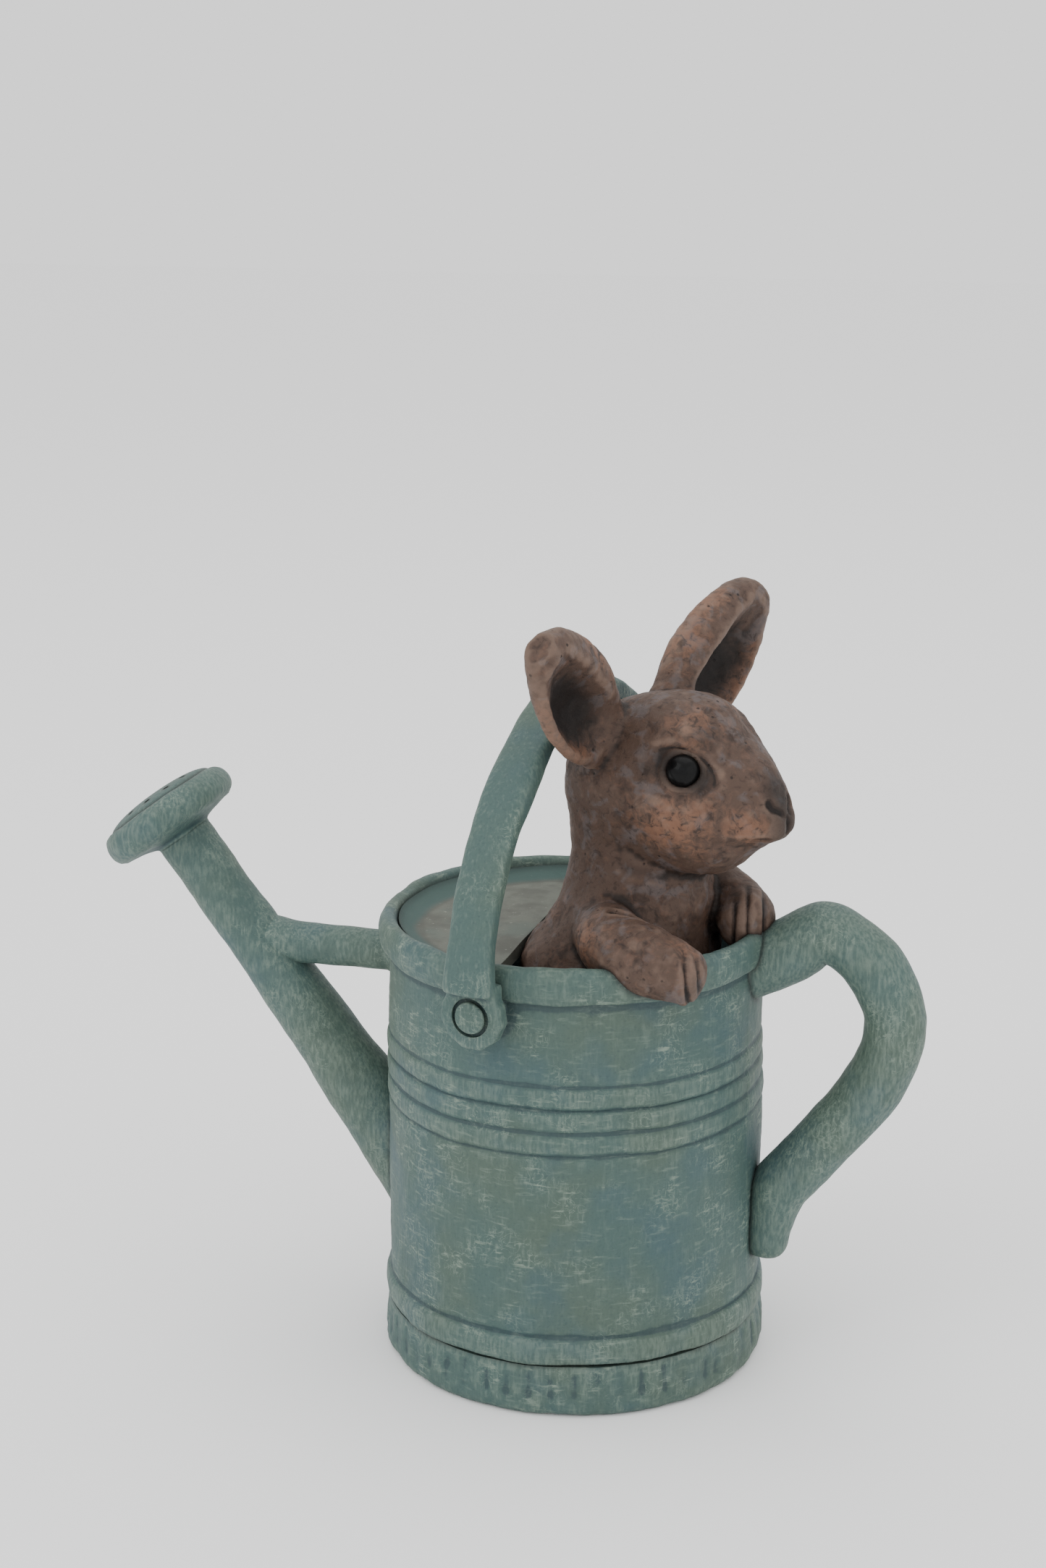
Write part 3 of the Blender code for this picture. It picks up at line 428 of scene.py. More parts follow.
def drum():
    low_rim = CAN_HEIGHT - RIM_HEIGHT
    outline = [(BORE_R, DRUM_LOW), (drum_radius(DRUM_LOW) - 0.3 * MM, DRUM_LOW)]
    for row in range(1, WALL_ROWS + 1):
        height = DRUM_LOW + (low_rim - DRUM_LOW) * row / WALL_ROWS
        outline.append((drum_radius(height), height))
    middle_r = (BORE_R + RIM_R) / 2
    half_r = (RIM_R - BORE_R) / 2
    middle_z = CAN_HEIGHT - RIM_HEIGHT / 2
    for step in range(RIM_STEPS + 1):
        angle = radians(RIM_START + RIM_SWEEP * step / RIM_STEPS)
        across = signed_power(cos(angle), RIM_SQUARENESS)
        up = signed_power(sin(angle), RIM_SQUARENESS)
        outline.append((middle_r + half_r * across, middle_z + RIM_HEIGHT / 2 * up))
    outline += [(BORE_R, LEDGE_TOP), (BORE_R - LEDGE, LEDGE_TOP), (BORE_R, LEDGE_TOP - 2 * MM)]
    outline += [(BORE_R, LEDGE_TOP + (DRUM_LOW - LEDGE_TOP) * step / 9) for step in range(1, 9)]
    clay = Clay(turned(outline, 360, closed=True), "can_body")
    radius = np.hypot(clay.points[:, 0], clay.points[:, 1])
    outside = rise(BORE_R + 0.4 * MM, BORE_R + 1.4 * MM, radius)
    height = clay.points[:, 2]
    rim = rise(low_rim - 1 * MM, low_rim + 1 * MM, height)
    start = clay.points.copy()
    clay.lumps(15 * MM, 0.45 * MM, 3)
    clay.lumps(4 * MM, 0.16 * MM, 4, (1, 1, 0.6))
    clay.lumps(1.3 * MM, 0.07 * MM, 5)
    clay.points = start + (clay.points - start) * outside[:, None]
    wavy = clay.waves(9 * MM, stretch=(1, 1, 0))
    clay.points[:, 2] += wavy * rim * outside * 0.35 * MM
    scored = rise(RIB_LOW - 3 * MM, RIB_LOW, height) * (1 - rim) * outside
    clay.points[:, 2] += wavy * scored * 0.3 * MM
    clay.smooth(rise(0.0, 0.4, wavy) * scored * 0.8, 4)
    turn = np.arctan2(clay.points[:, 1], clay.points[:, 0])
    seam = swell(turn * CAN_R, CAST_SEAM * CAN_R, SEAM_WIDTH)
    clay.push(seam * outside * (1 - rim), SEAM_RISE)
    across = np.array([cos(BAIL_TURN), sin(BAIL_TURN), 0])
    pivot = np.array([-sin(BAIL_TURN), cos(BAIL_TURN), 0])
    off = np.hypot(clay.points @ across, clay.points[:, 2] - PIVOT_Z)
    boss = (1 - rise(BOSS_R - 0.6 * MM, BOSS_R, off)) * outside
    reach = clay.points @ pivot
    lift = np.sign(reach) * np.maximum(BOSS_REACH - np.abs(reach), 0) * boss
    clay.points += lift[:, None] * pivot
    return clay


set_down(masked(drum()), "can", "can_paint", CAN_PAINT, "can_body")

# ---- Hood ----------------------------------------------------------------------------
# A plain plate over the front half of the mouth, resting on the shelf in the drum. Its
# straight edge stands just behind the rabbit's back; it is painted a flat stone colour.
HOOD_TOP = 84.0 * MM
HOOD_THICKNESS = 2.5 * MM
HOOD_EDGE_X = -7.2 * MM
HOOD_FILLET_WIDE = 4.5 * MM
HOOD_FILLET_HIGH = 2.2 * MM
STONE = chip(98, 101, 92)
STONE_DARK = chip(68, 68, 62)
STONE_PALE = chip(150, 152, 142)


def hood_paint():
    """Dry stone-coloured wash with pale specks, with painted shade in its low places, as at the foot of the
    rise under the rim, and where other pieces meet it.
    """
    paint = Finish("hood_paint")
    grain = paint.cloud(0.45 * MM, detail=4.0, roughness=0.7)
    colour = paint.mixed(STONE, STONE_DARK, paint.cloud(8 * MM).rise(0.42, 0.66) * 0.6)
    colour = paint.mixed(colour, TEAL, paint.cloud(14 * MM).rise(0.5, 0.7) * 0.3)
    colour = paint.mixed(colour, STONE_DARK, grain.rise(0.5, 0.75) * 0.4)
    colour = paint.mixed(colour, STONE_PALE, paint.cloud(0.9 * MM).rise(0.66, 0.74) * 0.6)
    # painted shade in the low places, as at the foot of the rise under the rim
    colour = paint.mixed(colour, STONE_DARK, (0 - paint.mask("relief")).rise(0.1, 0.8) * 0.5)
    colour = paint.mixed(colour, TEAL, paint.mask("warm") * 0.9)
    # painted shade where other pieces meet the hood
    colour = paint.mixed(colour, PAINTED_SHADE, paint.mask("dark_paint_and_shade") * 0.9)
    paint.join(colour, paint.shader.inputs["Base Color"])
    paint.join(0.9 - grain * 0.15, paint.shader.inputs["Roughness"])
    paint.join(paint.dented(grain, 0.12 * MM, 0.5), paint.shader.inputs["Normal"])
    return paint.material


def top_hood():
    radius = BORE_R - 0.03 * MM
    low = HOOD_TOP - HOOD_THICKNESS
    rings = 60
    outline = [(0, low), (radius * 0.5, low), (radius - 0.3 * MM, low), (radius, low + 0.3 * MM)]
    for step in range(rings + 1):
        share = step / rings
        fillet = max(0.0, 1 - share * radius / HOOD_FILLET_WIDE)
        outline.append((radius * (1 - share), HOOD_TOP + HOOD_FILLET_HIGH * fillet**2))
    bm = turned(outline, 240, closed=False)
    everything = bm.verts[:] + bm.edges[:] + bm.faces[:]
    cut = bmesh.ops.bisect_plane(
        bm, geom=everything, plane_co=(HOOD_EDGE_X, 0, 0), plane_no=(1, 0, 0), clear_outer=True
    )["geom_cut"]
    bmesh.ops.edgeloop_fill(bm, edges=[item for item in cut if isinstance(item, bmesh.types.BMEdge)])
    clay = Clay(bm, "top_hood")
    top = rise(HOOD_TOP - 1 * MM, HOOD_TOP, clay.points[:, 2])
    wavy = clay.waves(11 * MM)
    clay.points[:, 2] += wavy * top * 0.35 * MM
    out = np.hypot(clay.points[:, 0], clay.points[:, 1])
    fillet = rise(radius - HOOD_FILLET_WIDE, radius - 0.6 * HOOD_FILLET_WIDE, out + wavy * MM)
    clay.paint("warm", fillet * top)   # here the warm mask is where the can's own paint runs over
    return clay


set_down(masked(top_hood()), "can", "hood_paint", hood_paint(), "top_hood", cast="can_body")

# ---- Spout ---------------------------------------------------------------------------
# A straight tapered spout, cast solid and let into the wall by a stub. The strut that
# braces it is flared against it by hand.
SPOUT_ROOT_Z = 36.6 * MM
SPOUT_ROOT_R = 8.1 * MM
SPOUT_WAIST_R = 6.2 * MM
SPOUT_NECK_R = 5.5 * MM
SPOUT_REACH = 44.2 * MM
SPOUT_RISE = 7.8 * MM
WALL_INSIDE = 34.7 * MM       # castings are let into the wall down to here
SPOUT_HIDDEN = 0.16           # share of the spout's length that runs on into the wall
BRACE_R = 4.0 * MM
BRACE_FLARE = 1.3 * MM
BRACE_Z = CAN_HEIGHT - 11.9 * MM


def skinned(stations, sides, outline):
    """Extrude a closed outline through stations, each a centre and two half widths as vectors.

    The outline gives its two shares of the half widths for a turn and a station's number.
    """
    bm = bmesh.new()
    turn = bm.verts.layers.float.new("turn")
    ring = bmesh.ops.create_circle(bm, cap_ends=True, segments=sides, radius=1.0)["verts"]
    for corner in ring:
        corner[turn] = atan2(corner.co.y, corner.co.x)
    face = ring[0].link_faces[0]
    for index, (centre, half_u, half_v) in enumerate(stations):
        if index > 0:
            made = bmesh.ops.extrude_face_region(bm, geom=[face])["geom"]
            if index > 1:
                bmesh.ops.delete(bm, geom=[face], context="FACES_ONLY")
            face = next(item for item in made if isinstance(item, bmesh.types.BMFace))
        for corner in face.verts:
            u, v = outline(corner[turn], index)
            corner.co = centre + half_u * u + half_v * v
    bmesh.ops.recalc_face_normals(bm, faces=bm.faces)
    return bm


def section(power):
    """An outline that is the same all along: 2 is an ellipse, and more is squarer."""
    def corner(turn, station):
        size = (abs(cos(turn)) ** power + abs(sin(turn)) ** power) ** (-1 / power)
        return cos(turn) * size, sin(turn) * size

    return corner


def smooth_path(points, per_span):
    """A curve through points, as a list of vectors."""
    points = [Vector(point) for point in points]
    ends = [points[0] * 2 - points[1]] + points + [points[-1] * 2 - points[-2]]
    path = []
    for a, b, c, d in zip(ends, ends[1:], ends[2:], ends[3:]):
        for step in range(per_span):
            t = step / per_span
            bend = (a * 2 - b * 5 + c * 4 - d) * t**2 + (b * 3 - a - c * 3 + d) * t**3
            path.append((b * 2 + (c - a) * t + bend) / 2)
    return path + [points[-1]]


def bar(points, radii, sides, across):
    """A round bar through points in one plane, with rounded ends; across is its normal."""
    stations = []
    for index, (point, radius) in enumerate(zip(points, radii)):
        ahead = (points[min(index + 1, len(points) - 1)] - points[max(index - 1, 0)]).normalized()
        side = ahead.cross(across).normalized()
        stations.append((point, side * radius, side.cross(ahead) * radius))
    return skinned(stations, sides, section(2))


def let_in(bm, ahead):
    """Slide what is inside the wall back along a direction, so that it ends in the wall."""
    for corner in bm.verts:
        inside = WALL_INSIDE - Vector(corner.co.xy).length
        if inside > 0 and abs(corner.co.y) < WALL_INSIDE:
            flat = Vector(corner.co.xy)
            step = ahead.xy
            a = step.dot(step)
            b = flat.dot(step)
            c = flat.dot(flat) - WALL_INSIDE**2
            corner.co += ahead * ((-b + sqrt(b * b - a * c)) / a)


spout_root = Vector((-CAN_R, 0, SPOUT_ROOT_Z))
spout_end = Vector((-CAN_R - SPOUT_REACH, 0, CAN_HEIGHT + SPOUT_RISE))
spout_along = (spout_end - spout_root).normalized()


def spout():
    length = (spout_end - spout_root).length
    rows = 120
    points = []
    radii = []
    for row in range(rows + 1):
        share = (1 + SPOUT_HIDDEN) * row / rows - SPOUT_HIDDEN
        radius = SPOUT_ROOT_R * (1 - share) * (1 - 2 * share) + 4 * SPOUT_WAIST_R * share * (1 - share)
        radius += SPOUT_NECK_R * share * (2 * share - 1)
        points.append(spout_root + spout_along * (length * share))
        radii.append(radius)
    bm = bar(points, radii, 80, Vector((0, 1, 0)))
    let_in(bm, spout_along)
    clay = Clay(bm, "spout")
    clay.lumps(9 * MM, 0.35 * MM, 6)
    clay.lumps(2.5 * MM, 0.1 * MM, 7)
    return clay


def spout_brace():
    share = (BRACE_Z - spout_root.z) / (spout_end.z - spout_root.z)
    middle_x = spout_root.x + (spout_end.x - spout_root.x) * share
    rows = 50
    points = []
    radii = []
    for row in range(rows + 1):
        t = row / rows
        points.append(Vector((middle_x + (-WALL_INSIDE - 1 * MM - middle_x) * t * 1.06, 0, BRACE_Z)))
        radii.append(BRACE_R * (0.97 if t < 0.9 else 1.03) + BRACE_FLARE * max(0.0, 1 - t / 0.5) ** 1.5)
    bm = bar(points, radii, 56, Vector((0, 1, 0)))
    let_in(bm, Vector((-1, 0, 0)))
    clay = Clay(bm, "spout_brace")
    clay.lumps(5 * MM, 0.3 * MM, 8)
    return clay


set_down(masked(spout()), "can", "can_paint", BAR_PAINT, "spout", cast="spout")
set_down(masked(spout_brace()), "can", "can_paint", BAR_PAINT, "spout_brace", cast="spout")

# ---- Rose ----------------------------------------------------------------------------
# The sprinkler at the end of the spout: a cast head with a broad rounded rim, and a domed
# face set in it, pricked with two rings of pinholes about a middle one.
ROSE_R = 14.1 * MM
ROSE_CONE = 2.2 * MM
ROSE_RIM_TOP = 8.4 * MM
FACE_SEAT = 6.9 * MM
FACE_SEAT_R = 11.9 * MM
FACE_R = 11.6 * MM
FACE_DOME = 2.5 * MM
PINHOLE_R = 0.66 * MM
PINHOLE_DEPTH = 1.3 * MM
PINHOLE_RINGS = ((0.0, 1), (4.4 * MM, 6), (8.6 * MM, 12))
ROLL_R = 2.4 * MM             # the rim's rounding, across and up
ROLL_HIGH = 3.2 * MM
FACE_EDGE = ROSE_RIM_TOP - 0.3 * MM
rose_turn = Vector((0, 0, 1)).rotation_difference(spout_along).to_matrix()


def stand_on_spout(bm):
    bmesh.ops.rotate(bm, verts=bm.verts, cent=(0, 0, 0), matrix=rose_turn)
    bmesh.ops.translate(bm, verts=bm.verts, vec=spout_end)
    return bm


def pinholes():
    """Each hole's distance from the middle, and its place on the face."""
    for ring_r, count in PINHOLE_RINGS:
        for index in range(count):
            turn = 2 * pi * (index + 0.5) / count
            yield ring_r, ring_r * cos(turn), ring_r * sin(turn)


def rose_head():
    outline = [(0, -0.3 * MM), (SPOUT_NECK_R * 0.98, -0.3 * MM)]
    rows = 16
    for row in range(rows + 1):
        share = row / rows
        outline.append((SPOUT_NECK_R + (ROSE_R * 0.86 - SPOUT_NECK_R) * share**3.2, ROSE_CONE * share))
    for step in range(25):
        angle = radians(-50 + step * 150 / 24)
        radius = ROSE_R - ROLL_R * (1 - cos(angle))
        outline.append((radius, (ROSE_CONE + ROSE_RIM_TOP) / 2 + ROLL_HIGH * sin(angle)))
    outline += [(FACE_SEAT_R, FACE_EDGE), (FACE_SEAT_R, FACE_SEAT), (0, FACE_SEAT)]
    clay = Clay(stand_on_spout(turned(outline, 200, closed=False)), "rose_head")
    clay.lumps(5 * MM, 0.3 * MM, 9)
    clay.lumps(1.5 * MM, 0.08 * MM, 10)
    return clay


def rose_face():
    outline = [(0, FACE_SEAT + 0.1 * MM), (FACE_R, FACE_SEAT + 0.1 * MM), (FACE_R, FACE_EDGE)]
    rows = 40
    for row in range(rows + 1):
        angle = pi / 2 * row / rows
        outline.append((FACE_R * cos(angle) ** 0.9, FACE_EDGE + FACE_DOME * sin(angle)))
    outline[-1] = (0, outline[-1][1])
    bm = turned(outline, 150, closed=False)
    drills = bmesh.new()
    for ring_r, x, y in pinholes():
        floor = ROSE_RIM_TOP + FACE_DOME * sqrt(1 - (ring_r / FACE_R) ** 2) - PINHOLE_DEPTH
        bmesh.ops.create_cone(
            drills, cap_ends=True, segments=20, radius1=PINHOLE_R * 0.8, radius2=PINHOLE_R * 1.5,
            depth=4 * PINHOLE_DEPTH, matrix=Matrix.Translation((x, y, floor + 2 * PINHOLE_DEPTH)),
        )
    return carved(stand_on_spout(bm), "rose_face", [stand_on_spout(drills)])


def carved(bm, name, cutters, voxel=None):
    """Cut other shapes out of one, and where a voxel is given melt it into one soft skin."""
    made = []
    for index, shape in enumerate([bm] + cutters):
        mesh = bpy.data.meshes.new(name)
        shape.to_mesh(mesh)
        shape.free()
        made.append(bpy.data.objects.new(f"{name}_blank{index}", mesh))
        bpy.context.collection.objects.link(made[-1])
    for cutter in made[1:]:
        cut = made[0].modifiers.new("cut", "BOOLEAN")
        cut.operation = "DIFFERENCE"
        cut.solver = "EXACT"
        cut.object = cutter
    if voxel:
        melt = made[0].modifiers.new("melt", "REMESH")
        melt.mode = "VOXEL"
        melt.voxel_size = voxel
    evaluated = made[0].evaluated_get(bpy.context.evaluated_depsgraph_get())
    result = bmesh.new()
    result.from_mesh(evaluated.to_mesh())
    for old in made:
        bpy.data.objects.remove(old, do_unlink=True)
    return Clay(result, name)


def rose_pinholes(clay):
    """Painted shade in the pinholes, deepest at their floors."""
    across, along, up = ((clay.points - np.array(spout_end)) @ np.array(rose_turn)).T
    for _, x, y in pinholes():
        off = np.hypot(across - x, along - y)
        clay.paint("dark_paint_and_shade", (1 - rise(PINHOLE_R * 0.9, PINHOLE_R * 1.9, off)) * (up > FACE_SEAT + 1 * MM))


set_down(masked(rose_head()), "can", "can_paint", BAR_PAINT, "rose_head", cast="spout")
face = rose_face()
rose_pinholes(face)
set_down(masked(face), "can", "can_paint", BAR_PAINT, "rose_face")

# ---- Rear handle ---------------------------------------------------------------------
# A round bar of the same casting resin, bent by hand from under the rim, out and back to
# a foot low on the wall. It is thick at its upper root and a little lumpy all along.
HANDLE_R = 5.75 * MM
HANDLE_REACH = 25.7 * MM
HANDLE_TOP_Z = 80.5 * MM
HANDLE_FOOT_Z = 26.0 * MM
HANDLE_ROOT_R = 7.4 * MM
HANDLE_FOOT_R = 4.7 * MM


def rear_handle():
    route = [
        (-0.18, 0.97), (0.15, 1.035), (0.47, 1.115), (0.74, 1.055), (0.92, 0.945), (1.0, 0.82),
        (0.94, 0.67), (0.72, 0.49), (0.42, 0.31), (0.19, 0.175), (0.1, 0.05), (0.08, -0.02),
    ]
    drop = HANDLE_TOP_Z - HANDLE_FOOT_Z
    points = smooth_path(
        [(CAN_R + HANDLE_REACH * out, 0, HANDLE_FOOT_Z + drop * up) for out, up in route], 26
    )
    radii = []
    for index in range(len(points)):
        share = index / (len(points) - 1)
        radius = HANDLE_R + (HANDLE_ROOT_R - HANDLE_R) * max(0.0, 1 - share / 0.16)
        radii.append(radius + (HANDLE_FOOT_R - HANDLE_R) * max(0.0, share - 0.8) / 0.2)
    tip = points[-1]
    down = (points[-1] - points[-2]).normalized()
    for angle in [radians(9 * step) for step in range(1, 10)]:
        points.append(tip + down * (HANDLE_FOOT_R * 0.8 * sin(angle)))
        radii.append(max(HANDLE_FOOT_R * cos(angle) ** 0.6, 0.05 * MM))
    bm = bar(points, radii, 64, Vector((0, 1, 0)))
    let_in(bm, Vector((1, 0, 0)))
    clay = Clay(bm, "rear_handle")
    clay.lumps(11 * MM, 0.55 * MM, 11)
    clay.lumps(3 * MM, 0.14 * MM, 12)
    clay.push(clay.near((CAN_R + 11 * MM, 0, HANDLE_TOP_Z - 1.5 * MM), 6 * MM), 0.3 * MM)
    return clay


set_down(masked(rear_handle()), "can", "can_paint", BAR_PAINT, "rear_handle")

# ---- Carrying handle -----------------------------------------------------------------
# A flat strap with rounded edges, bent to an arch over the can. Each leg ends in a step
# and a thinner lug, faceted by the knife, that turns on a pin in the drum's boss.
STRAP_WIDTH = 8.8 * MM
STRAP_FOOT_WIDTH = 10.6 * MM
STRAP_FOOT_HEIGHT = 14.0 * MM
STRAP_THICKNESS = 4.9 * MM
STRAP_SQUARENESS = 3.6        # of its section; 2 is round
STRAP_INNER = 39.4 * MM
ARCH_HALF = STRAP_INNER + STRAP_THICKNESS
ARCH_START = 2.2 * MM
ARCH_RISE = 52.6 * MM
ARCH_POWER = 1.79
LUG_INNER = 38.3 * MM
LUG_OUTER = 41.5 * MM
LUG_R = 6.2 * MM
LUG_STEP = 4.3 * MM
PIN_R = 1.5 * MM
PIN_HEAD_R = 3.0 * MM
PIN_GROOVE_R = 3.65 * MM
PIN_RECESS = 0.9 * MM
bail_place = Matrix.Translation((0, 0, PIVOT_Z)) @ Matrix.Rotation(BAIL_TURN, 4, "Z")


def strap():
    """The arch from one step to the other, in the pivots' own frame."""
    half = ARCH_HALF - STRAP_THICKNESS / 2
    crown = ARCH_RISE - STRAP_THICKNESS / 2
    steps = 90
    curve = []
    for index in range(1, 2 * steps):
        angle = pi * index / (2 * steps)
        across = half * signed_power(cos(angle), 2 / ARCH_POWER)
        curve.append((across, ARCH_START + crown * sin(angle) ** (2 / ARCH_POWER)))
    curve = [point for point in curve if point[1] > LUG_STEP]
    middle = [(half, LUG_STEP)] + curve + [(-half, LUG_STEP)]
    points = [Vector((0, across, up)) for across, up in middle]
    stations = []
    for index, point in enumerate(points):
        ahead = (points[min(index + 1, len(points) - 1)] - points[max(index - 1, 0)]).normalized()
        out = Vector((1, 0, 0)).cross(ahead)
        share = max(0.0, 1 - point.z / STRAP_FOOT_HEIGHT)
        width = STRAP_WIDTH + (STRAP_FOOT_WIDTH - STRAP_WIDTH) * share
        stations.append((point, Vector((width / 2, 0, 0)), out * (STRAP_THICKNESS / 2)))
    return skinned(stations, 32, section(STRAP_SQUARENESS))


def bail_handle():
    bm = strap()
    cutters = []
    for side in (-1, 1):
        lie = Matrix.Rotation(radians(90), 4, "X")
        middle = side * (LUG_INNER + LUG_OUTER) / 2
        lug = bmesh.ops.create_cone(
            bm, cap_ends=True, segments=11, radius1=LUG_R * 1.02, radius2=LUG_R * 1.02,
            depth=LUG_OUTER - LUG_INNER, matrix=Matrix.Translation((0, middle, 0)) @ lie,
        )["verts"]
        rim = list({edge for corner in lug for edge in corner.link_edges if edge.calc_length() < 4 * MM})
        rim = [edge for edge in rim if abs(edge.verts[0].co.y - edge.verts[1].co.y) < 0.1 * MM]
        bmesh.ops.bevel(bm, geom=rim, offset=0.5 * MM, affect="EDGES", segments=2, profile=0.5, material=-1)
        tongue = Matrix.Translation((0, middle, LUG_STEP)) @ Matrix.Diagonal(
            (STRAP_FOOT_WIDTH * 0.96, LUG_OUTER - LUG_INNER, 4 * MM, 1)
        )
        bmesh.ops.create_cube(bm, size=1.0, matrix=tongue)
        for radius, start, end in (
            (PIN_R + 0.3 * MM, LUG_INNER - 1 * MM, LUG_OUTER + 1 * MM),
            (PIN_GROOVE_R, LUG_OUTER - PIN_RECESS, LUG_OUTER + 6 * MM),
        ):
            cutter = bmesh.new()
            bmesh.ops.create_cone(
                cutter, cap_ends=True, segments=48, radius1=radius, radius2=radius, depth=end - start,
                matrix=Matrix.Translation((0, side * (start + end) / 2, 0)) @ lie,
            )
            cutters.append(cutter)
    blank = carved(bm, "bail_handle", [], 0.3 * MM)
    blank.smooth(np.ones(len(blank.points)), 3)
    for side in (-1, 1):
        for corner in (-1, 1):
            step = (corner * STRAP_FOOT_WIDTH / 2, side * (LUG_OUTER + 1 * MM), LUG_STEP)
            blank.smooth(np.clip(blank.near(step, 4 * MM) * 1.5, 0, 1), 16)
    blank.mesh.vertices.foreach_set("co", blank.points.ravel())
    soft = bmesh.new()
    soft.from_mesh(blank.mesh)
    clay = carved(soft, "bail_handle", cutters)
    clay.lumps(9 * MM, 0.4 * MM, 13)
    clay.lumps(2.5 * MM, 0.12 * MM, 14, (1, 1, 0.4))
    clay.placed(bail_place)
    return clay


set_down(masked(bail_handle()), "bail", "can_paint", BAR_PAINT, "bail_handle")

# ---- Rivets --------------------------------------------------------------------------
# One pin for each lug, with a low domed head that lies in the lug's ring; its shank is
# pressed into the drum's boss, so it stays with the can when the handle swings.
RIVET_HEAD_LOW = LUG_OUTER - PIN_RECESS + 0.25 * MM
RIVET_HEAD_TOP = RIVET_HEAD_LOW + 1.1 * MM
SHANK_END = 35.2 * MM


def rivet(side, name):
    outline = [(0, SHANK_END), (PIN_R, SHANK_END), (PIN_R, RIVET_HEAD_LOW)]
    outline += [(PIN_HEAD_R * share, RIVET_HEAD_LOW) for share in (0.7, 0.9)]
    corner = 0.45 * MM
    for step in range(7):
        angle = radians(15 * step)
        outline.append((PIN_HEAD_R - corner * (1 - cos(angle)), RIVET_HEAD_TOP - corner * (1 - sin(angle))))
    for share in (0.7, 0.55, 0.4, 0.2, 0.0):
        outline.append((PIN_HEAD_R * share, RIVET_HEAD_TOP + 0.1 * MM * (1 - share)))
    bm = turned(outline, 96, closed=False)
    bmesh.ops.subdivide_edges(
        bm, edges=[edge for edge in bm.edges if edge.calc_length() > 0.5 * MM], cuts=1, use_grid_fill=True
    )
    bmesh.ops.rotate(bm, verts=bm.verts, cent=(0, 0, 0), matrix=Matrix.Rotation(radians(-90 * side), 3, "X"))
    bmesh.ops.transform(bm, verts=bm.verts, matrix=bail_place)
    bmesh.ops.recalc_face_normals(bm, faces=bm.faces)
    clay = Clay(bm, name)
    clay.lumps(2 * MM, 0.1 * MM, 15 + side)
    return clay


set_down(masked(rivet(-1, "bail_rivet_near")), "can", "can_paint", BAR_PAINT, "bail_rivet_near")
set_down(masked(rivet(1, "bail_rivet_far")), "can", "can_paint", BAR_PAINT, "bail_rivet_far")

# ---- Rabbit --------------------------------------------------------------------------
# The figure is modelled whole in clay, then cast in pieces: trunk, head, two ears and two
# forelegs. It is measured in a frame of its own, with x forwards, y to its left and z up
# from the can's rim.
RABBIT_TURN = radians(-17.5)
rabbit_place = Matrix.Translation((0, 0, CAN_HEIGHT)) @ Matrix.Rotation(RABBIT_TURN, 4, "Z")
VOXEL = 0.42 * MM
CUT_Z = -8.5                  # below this the trunk is hidden and plain
HOOD_GAP = 0.4 * MM           # between the trunk and the hood's straight edge
HEAD_LENGTH = 44.8
HEAD_BACK_X = 1.5
HEAD_HALF_WIDTH = 14.2
HEAD_HALF_HEIGHT = 17.2
HEAD_CENTRE_Z = 28.1
EAR_LENGTH = 31.0
EAR_WIDTH = 20.5
EAR_THICKNESS = {1: 10.5, -1: 8.0}
EAR_HOLLOW = {1: 8.0, -1: 6.2}
EAR_TURN = 0.24               # how far the hollow lies to the outer side
EAR_OPEN = 0.66               # half the hollow's width, as a share of half the ear's
EAR_ROOT = (15.6, 10.7, 38.8)
EAR_LEAN = (0.086, 0.773, 0.629)
EAR_STAGGER = 4.0             # how far back the near ear is set
EAR_PLANE = 3.0               # the ears are cast on this far above their roots
EYE_R = 3.1 * MM
EYE_PLACE = (29.3, 10.73, 33.5)
FUR_BROWN = chip(76, 59, 50)
FUR_GREY = chip(86, 78, 77)
FUR_UMBER = chip(44, 33, 28)
FUR_TAN = chip(132, 94, 73)
FUR_PALE = chip(124, 103, 90)
FUR_DARK = chip(16, 11, 9)


def at(x, y, z):
    """A place in the rabbit's own frame, given in millimetres."""
    return Vector((x, y, z)) * MM


def trunk():
    """Shoulders and neck above the rim, running on down inside the can."""
    rows = [
        (-14, 9.5, 17, 20), (-7, 10, 17.2, 21), (-3, 11, 16, 20), (0.5, 12.4, 14.6, 18),
        (5, 13.8, 14.2, 14.5), (9.5, 14.1, 13.4, 12.5), (14, 13.9, 12.8, 11.6), (19, 13, 12, 11),
        (24, 11.4, 10.4, 10), (28, 9.5, 8.5, 8.5),
    ]
    stations = [
        (at(forward, 0, up), at(half_x, 0, 0), at(0, half_y, 0))
        for up, forward, half_x, half_y in smooth_path(rows, 6)
    ]
    return skinned(stations, 64, section(2.3))


def skull():
    """Sections from nape to nose, as shares of length, top, bottom and half width."""
    rows = [
        (0.0, 0.40, 0.62, 0.46), (0.034, 0.58, 0.84, 0.64), (0.10, 0.72, 0.93, 0.80),
        (0.21, 0.86, 0.97, 0.92), (0.35, 0.96, 0.99, 0.98), (0.48, 1.0, 1.0, 1.0),
        (0.60, 0.99, 0.97, 0.96), (0.70, 0.88, 0.89, 0.86), (0.79, 0.66, 0.76, 0.70),
        (0.87, 0.38, 0.65, 0.54), (0.94, 0.14, 0.55, 0.40), (0.983, -0.04, 0.45, 0.26),
        (1.0, -0.17, 0.34, 0.13),
    ]
    stations = []
    for share, top, bottom, wide in smooth_path(rows, 5):
        middle = HEAD_CENTRE_Z + HEAD_HALF_HEIGHT * (top - bottom) / 2
        half_z = at(0, 0, HEAD_HALF_HEIGHT * (top + bottom) / 2)
        centre = at(HEAD_BACK_X + share * HEAD_LENGTH, 0, middle)
        stations.append((centre, half_z, at(0, HEAD_HALF_WIDTH * wide, 0)))
    return skinned(stations, 64, section(2))


